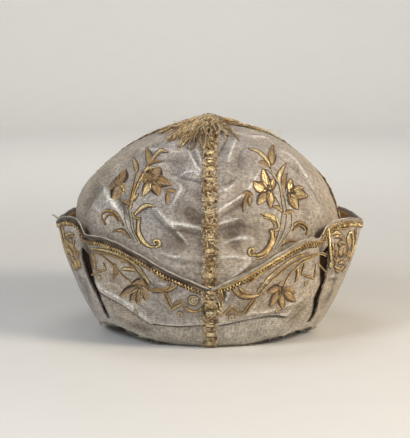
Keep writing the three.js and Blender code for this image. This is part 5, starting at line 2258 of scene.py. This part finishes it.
# Strands of the tassel: millimetres and degrees, or shares of a strand
STRAND_ROWS = 18
STRAND_AGES = (-0.3, -0.2, 0.0, 0.0, 0.1, 0.3, 0.6, 1.3, 1.8)
STRAND_START = 1.5  # from the crown's top
STRAND_LENGTHS = (0.5, 1.05)
STRAND_SPREAD = 2.0
STRAND_BEND = 5.0
STRAND_TANGLE = 70.0  # at the start
STRAND_PACES = (4, 15)  # of the waves
STRAND_SWAY = 2.0
STRAND_WIGGLE = 0.7
STRAND_LIFT = 0.8
STRAND_THICKNESS = (0.6, 1.35)
STRAND_SHINE = 0.4
STRAND_SHADE = 0.8  # painted shade: tarnish added to the lowest strands
PILE_TOP = 3.6
PILE_DEPTH = 3.4
ARCH_HEIGHT = 1.9  # of the strands near the start
ARCH_PLACE = 8.0
ARCH_WIDTH = 11.0
LACE_RISE = 2.2  # of the strands over the front braid
LACE_REACH = 7.0
BUNDLE_STRANDS = 7  # strands that lie together in a fan

# Bound head of the tassel and its loose wisps, in millimetres
BIND_LOOPS = 34
BIND_SIZES = (2.2, 7.5)
BIND_FOOT = 174.5
BIND_LAYERS = (0.4, 3.4)
BIND_LEVELS = (174.2, 181.0)
BIND_LEAN = 0.35
BIND_SHIFT = 1.6
BIND_RADIUS = 0.42
WISP_LIFT = 2.0
WISP_RADIUS = 0.3

TASSEL_WISPS = table_of(
    Wisp,
    (90, -10, 38, 60, 4, 0),
    (94, 6, 40, 62, 5.5, 0.1),
    (86, -14, 36, 58, 2, 0.2),
    (98, -18, 40, 64, 1, 0),
    (-60, 20, 6, 18, 5, 0),
    (-80, -10, 12, 30, 3, 0.3),
)

TASSEL_FANS = table_of(
    Fan,
    (-64, 3, 1.15, 0.15),
    (-33, 5, 1.45, 0.27),
    (-10, 7, 1.7, 0.12),
    (5, 7, 1.3, 0.05),
    (18, 9, 1.4, 0.04),
    (87, 3, 1.12, 0.1),
    (-95, 8, 0.9, 0.05),
    (150, 30, 0.95, 0.1),
    (-146, 30, 0.95, 0.1),
)


class CAP_OT_tassel(bpy.types.Operator):
    """Make the flattened tassel of straw-gold strands on top of the crown"""

    bl_idname = "cap.tassel"
    bl_label = "Tassel"

    def execute(self, context):
        tassel = context.scene.cap_tassel
        gilt = context.scene.cap_gilt
        material = gilt_material("tassel_gilt", gilt, gilt.straw, 2 * gilt.twist, 0.38, 0.6)
        random = np.random.default_rng(tassel.seed)
        joined = Joined()
        share = np.linspace(0, 1, STRAND_ROWS)
        for fan in TASSEL_FANS:
            count = int(tassel.strands * fan.share)
            shape = (count, 1)
            bundle = np.arange(count) // BUNDLE_STRANDS
            bundles = bundle[-1] + 1
            azimuth = fan.azimuth + (fan.spread * random.normal(size=(bundles, 1)))[bundle]
            azimuth = azimuth + STRAND_SPREAD * random.normal(size=shape)
            reach = tassel.length * fan.length * random.uniform(*STRAND_LENGTHS, shape)
            bend = random.normal(size=shape) * STRAND_BEND
            tangle = random.normal(size=shape) * STRAND_TANGLE
            path = azimuth + bend * share**2 + tangle * (1 - share) ** 4
            pace = random.uniform(*STRAND_PACES, shape)
            phase = random.uniform(0, 6, shape)
            path = path + STRAND_SWAY * np.sin(share * pace + phase) * (0.4 + 0.6 * share)
            distance = STRAND_START * MM + reach * share
            depth = random.uniform(0, 1, shape)
            layer = (PILE_TOP - PILE_DEPTH * depth) * MM
            arch = ARCH_HEIGHT * MM * np.exp(-(((distance - ARCH_PLACE * MM) / (ARCH_WIDTH * MM)) ** 2))
            beside = np.radians(turn_from(0, path)) * distance
            over_lace = LACE_RISE * MM * np.exp(-((beside / (LACE_REACH * MM)) ** 2))
            lift = layer * (1 - 0.7 * share) + arch + over_lace + STRAND_LIFT * MM
            wiggle = STRAND_WIGGLE * MM * np.sin(share * pace * 1.3 + phase)
            points, normals = self.over_crown(path, distance, lift + wiggle)
            radius = tassel.radius * random.uniform(*STRAND_THICKNESS, shape) * (1 - 0.35 * share)
            shine = STRAND_SHINE * np.sin(share * pace * 2.4 + phase)
            age = random.choice(STRAND_AGES, (bundles, 1))[bundle] + shine + STRAND_SHADE * depth**2
            joined.cords(points, normals, radius, age, 4)
        self.bind(joined, random)
        self.wisps(joined)
        joined.piece("tassel_strands", material, "metal_thread", ("tassel",))
        return {"FINISHED"}

    def over_crown(self, azimuth, distance, lift):
        """Points at distances from the middle of the crown's top, lifted off it."""
        along = share_from_top(distance)
        points = CROWN.at(azimuth, along, lift)
        inner = np.minimum(distance / MERIDIAN_AWAY[-1], 1)[..., None]
        axis = points * (0, 0, 1)
        points = axis + (points - axis) * inner
        return points, CROWN.normals(azimuth, along)

    def bind(self, joined, random):
        """Tangled loops of thread that bind the tassel's head."""
        turn = ring_angles(20)
        size = random.uniform(*BIND_SIZES, (BIND_LOOPS, 1)) * MM
        lean = random.normal(size=(BIND_LOOPS, 2)) * BIND_LEAN
        layer = random.uniform(*BIND_LAYERS, (BIND_LOOPS, 1)) * MM
        height = BIND_FOOT * MM + layer * (1 - 0.5 * size / (BIND_SIZES[1] * MM))
        shift = random.normal(size=(BIND_LOOPS, 2)) * BIND_SHIFT * MM
        across = shift[:, :1] + size * np.cos(turn)
        deep = shift[:, 1:] + size * np.sin(turn)
        level = height + across * lean[:, :1] + deep * lean[:, 1:]
        low, high = BIND_LEVELS
        points = np.stack([across, deep, np.clip(level, low * MM, high * MM)], axis=-1)
        normals = np.broadcast_to((0.0, 0.0, 1.0), points.shape)
        joined.cords(points, normals, BIND_RADIUS * MM, random.choice(STRAND_AGES, BIND_LOOPS), 4, True)

    def wisps(self, joined):
        """Loose ends that stand off the tassel at its right and on top."""
        share = np.linspace(0, 1, 9)
        for wisp in TASSEL_WISPS:
            path = wisp.azimuth + wisp.swing * share**2
            distance = (wisp.start + (wisp.end - wisp.start) * share) * MM
            points, normals = self.over_crown(path, distance, (WISP_LIFT + wisp.lift * share**2) * MM)
            joined.cord(points, normals, WISP_RADIUS * MM * (1 - 0.4 * share), wisp.tarnish, 4)


# Floor in metres: flat round the cap, then rising to a round backdrop with a light on each side
FLOOR_SIZE = 8.0
FLOOR_CELLS = 64
FLOOR_FLAT = 1.9
FLOOR_CURVE = 1.5
WASHES = {"wash_back": (0, 1), "wash_right": (1, 0), "wash_front": (0, -1), "wash_left": (-1, 0)}
SIDE_WASH = 0.55  # power of the other three against the back one
WASH_REACH = 1.1
WASH_HEIGHT = 1.35
WASH_SIZE = 1.2
WASH_TINT = (1.0, 0.99, 0.97)
WASH_TARGET = 2.5
WASH_TARGET_HEIGHT = 0.35
CAP_MIDDLE = (0.0, 0.0, 0.09)
SKY_TINT = (0.92, 0.94, 1.0, 1.0)


class Lamp(NamedTuple):
    """A soft square light on the cap: its place and size in metres, and its tint."""

    place: tuple
    size: float
    tint: tuple


LAMPS = {
    "key": Lamp((0.95, -0.62, 0.72), 0.4, (1.0, 0.87, 0.70)),
    "fill": Lamp((-0.78, -0.85, 0.8), 0.45, (0.88, 0.94, 1.0)),
    "top": Lamp((-0.1, 0.25, 1.25), 0.6, (1.0, 0.98, 0.96)),
}


class CAP_OT_stage(bpy.types.Operator):
    """Make the floor, the lights and the photograph's camera"""

    bl_idname = "cap.stage"
    bl_label = "Stage"

    def execute(self, context):
        stage = context.scene.cap_stage
        floor, across, back = cloth_grid("floor", FLOOR_CELLS, FLOOR_CELLS)
        place = (np.column_stack([across, back]) - 0.5) * FLOOR_SIZE
        rise = FLOOR_CURVE * np.maximum(np.hypot(*place.T) - FLOOR_FLAT, 0) ** 2
        shape_cloth(floor, np.column_stack([place, rise]), place)
        floor.data.materials.append(floor_material(stage))
        bpy.ops.object.shade_smooth()
        for name, lamp in LAMPS.items():
            self.light(name, lamp, getattr(stage, name), CAP_MIDDLE)
        for name, (x, y) in WASHES.items():
            lamp = Lamp((WASH_REACH * x, WASH_REACH * y, WASH_HEIGHT), WASH_SIZE, WASH_TINT)
            target = (WASH_TARGET * x, WASH_TARGET * y, WASH_TARGET_HEIGHT)
            power = stage.wash if name == "wash_back" else SIDE_WASH * stage.wash
            self.light(name, lamp, power, target)
        context.scene.view_settings.view_transform = "Standard"
        world = context.scene.world or bpy.data.worlds.new("surroundings")
        context.scene.world = world
        world.use_nodes = True
        sky = world.node_tree.nodes["Background"]
        sky.inputs["Color"].default_value = SKY_TINT
        sky.inputs["Strength"].default_value = stage.sky
        self.camera(context)
        return {"FINISHED"}

    def light(self, name, lamp, power, target):
        bpy.ops.object.light_add(type="AREA", location=lamp.place)
        light = bpy.context.object
        light.name = name
        light.data.size = lamp.size
        light.data.energy = power
        light.data.color = lamp.tint
        light.visible_camera = False
        aim = Vector(target) - light.location
        light.rotation_euler = aim.to_track_quat("-Z", "Y").to_euler()

    def camera(self, context):
        toward, _ = camera_axes()
        target = Vector(CAMERA_TARGET) * MM
        eye = target + Vector(toward) * CAMERA_DISTANCE * MM
        bpy.ops.object.camera_add(location=eye)
        camera = bpy.context.object
        camera.name = "photograph"
        camera.rotation_euler = (target - eye).to_track_quat("-Z", "Y").to_euler()
        camera.data.sensor_fit = "HORIZONTAL"
        camera.data.sensor_width = SENSOR_WIDTH
        camera.data.lens = SENSOR_WIDTH * CAMERA_DISTANCE / (IMAGE_WIDTH * PIXEL_SIZE)
        context.scene.camera = camera


class CAP_PT_panel(bpy.types.Panel):
    """Lists the cap's pieces"""

    bl_label = "Embroidered cap"
    bl_idname = "CAP_PT_panel"
    bl_space_type = "VIEW_3D"
    bl_region_type = "UI"
    bl_category = "Cap"

    def draw(self, context):
        for operator in OPERATORS:
            self.layout.operator(operator.bl_idname)


OPERATORS = (
    CAP_OT_gores,
    CAP_OT_cuffs,
    CAP_OT_lining,
    CAP_OT_galloons,
    CAP_OT_edging,
    CAP_OT_piping,
    CAP_OT_fray,
    CAP_OT_embroidery,
    CAP_OT_tassel,
    CAP_OT_stage,
)
SETTINGS = {"cap_silk": CapSilk, "cap_gilt": CapGilt, "cap_tassel": CapTassel, "cap_stage": CapStage}


def register():
    for group in SETTINGS.values():
        bpy.utils.register_class(group)
    for operator in OPERATORS:
        bpy.utils.register_class(operator)
    bpy.utils.register_class(CAP_PT_panel)
    for name, group in SETTINGS.items():
        setattr(bpy.types.Scene, name, bpy.props.PointerProperty(type=group))


def unregister():
    for name in SETTINGS:
        delattr(bpy.types.Scene, name)
    bpy.utils.unregister_class(CAP_PT_panel)
    for operator in reversed(OPERATORS):
        bpy.utils.unregister_class(operator)
    for group in reversed(SETTINGS.values()):
        bpy.utils.unregister_class(group)


def main():
    register()
    bpy.ops.cap.gores()
    bpy.ops.cap.cuffs()
    bpy.ops.cap.lining()
    bpy.ops.cap.galloons()
    bpy.ops.cap.edging()
    bpy.ops.cap.piping()
    bpy.ops.cap.fray()
    bpy.ops.cap.embroidery()
    bpy.ops.cap.tassel()
    bpy.ops.cap.stage()


if __name__ == "__main__":
    main()
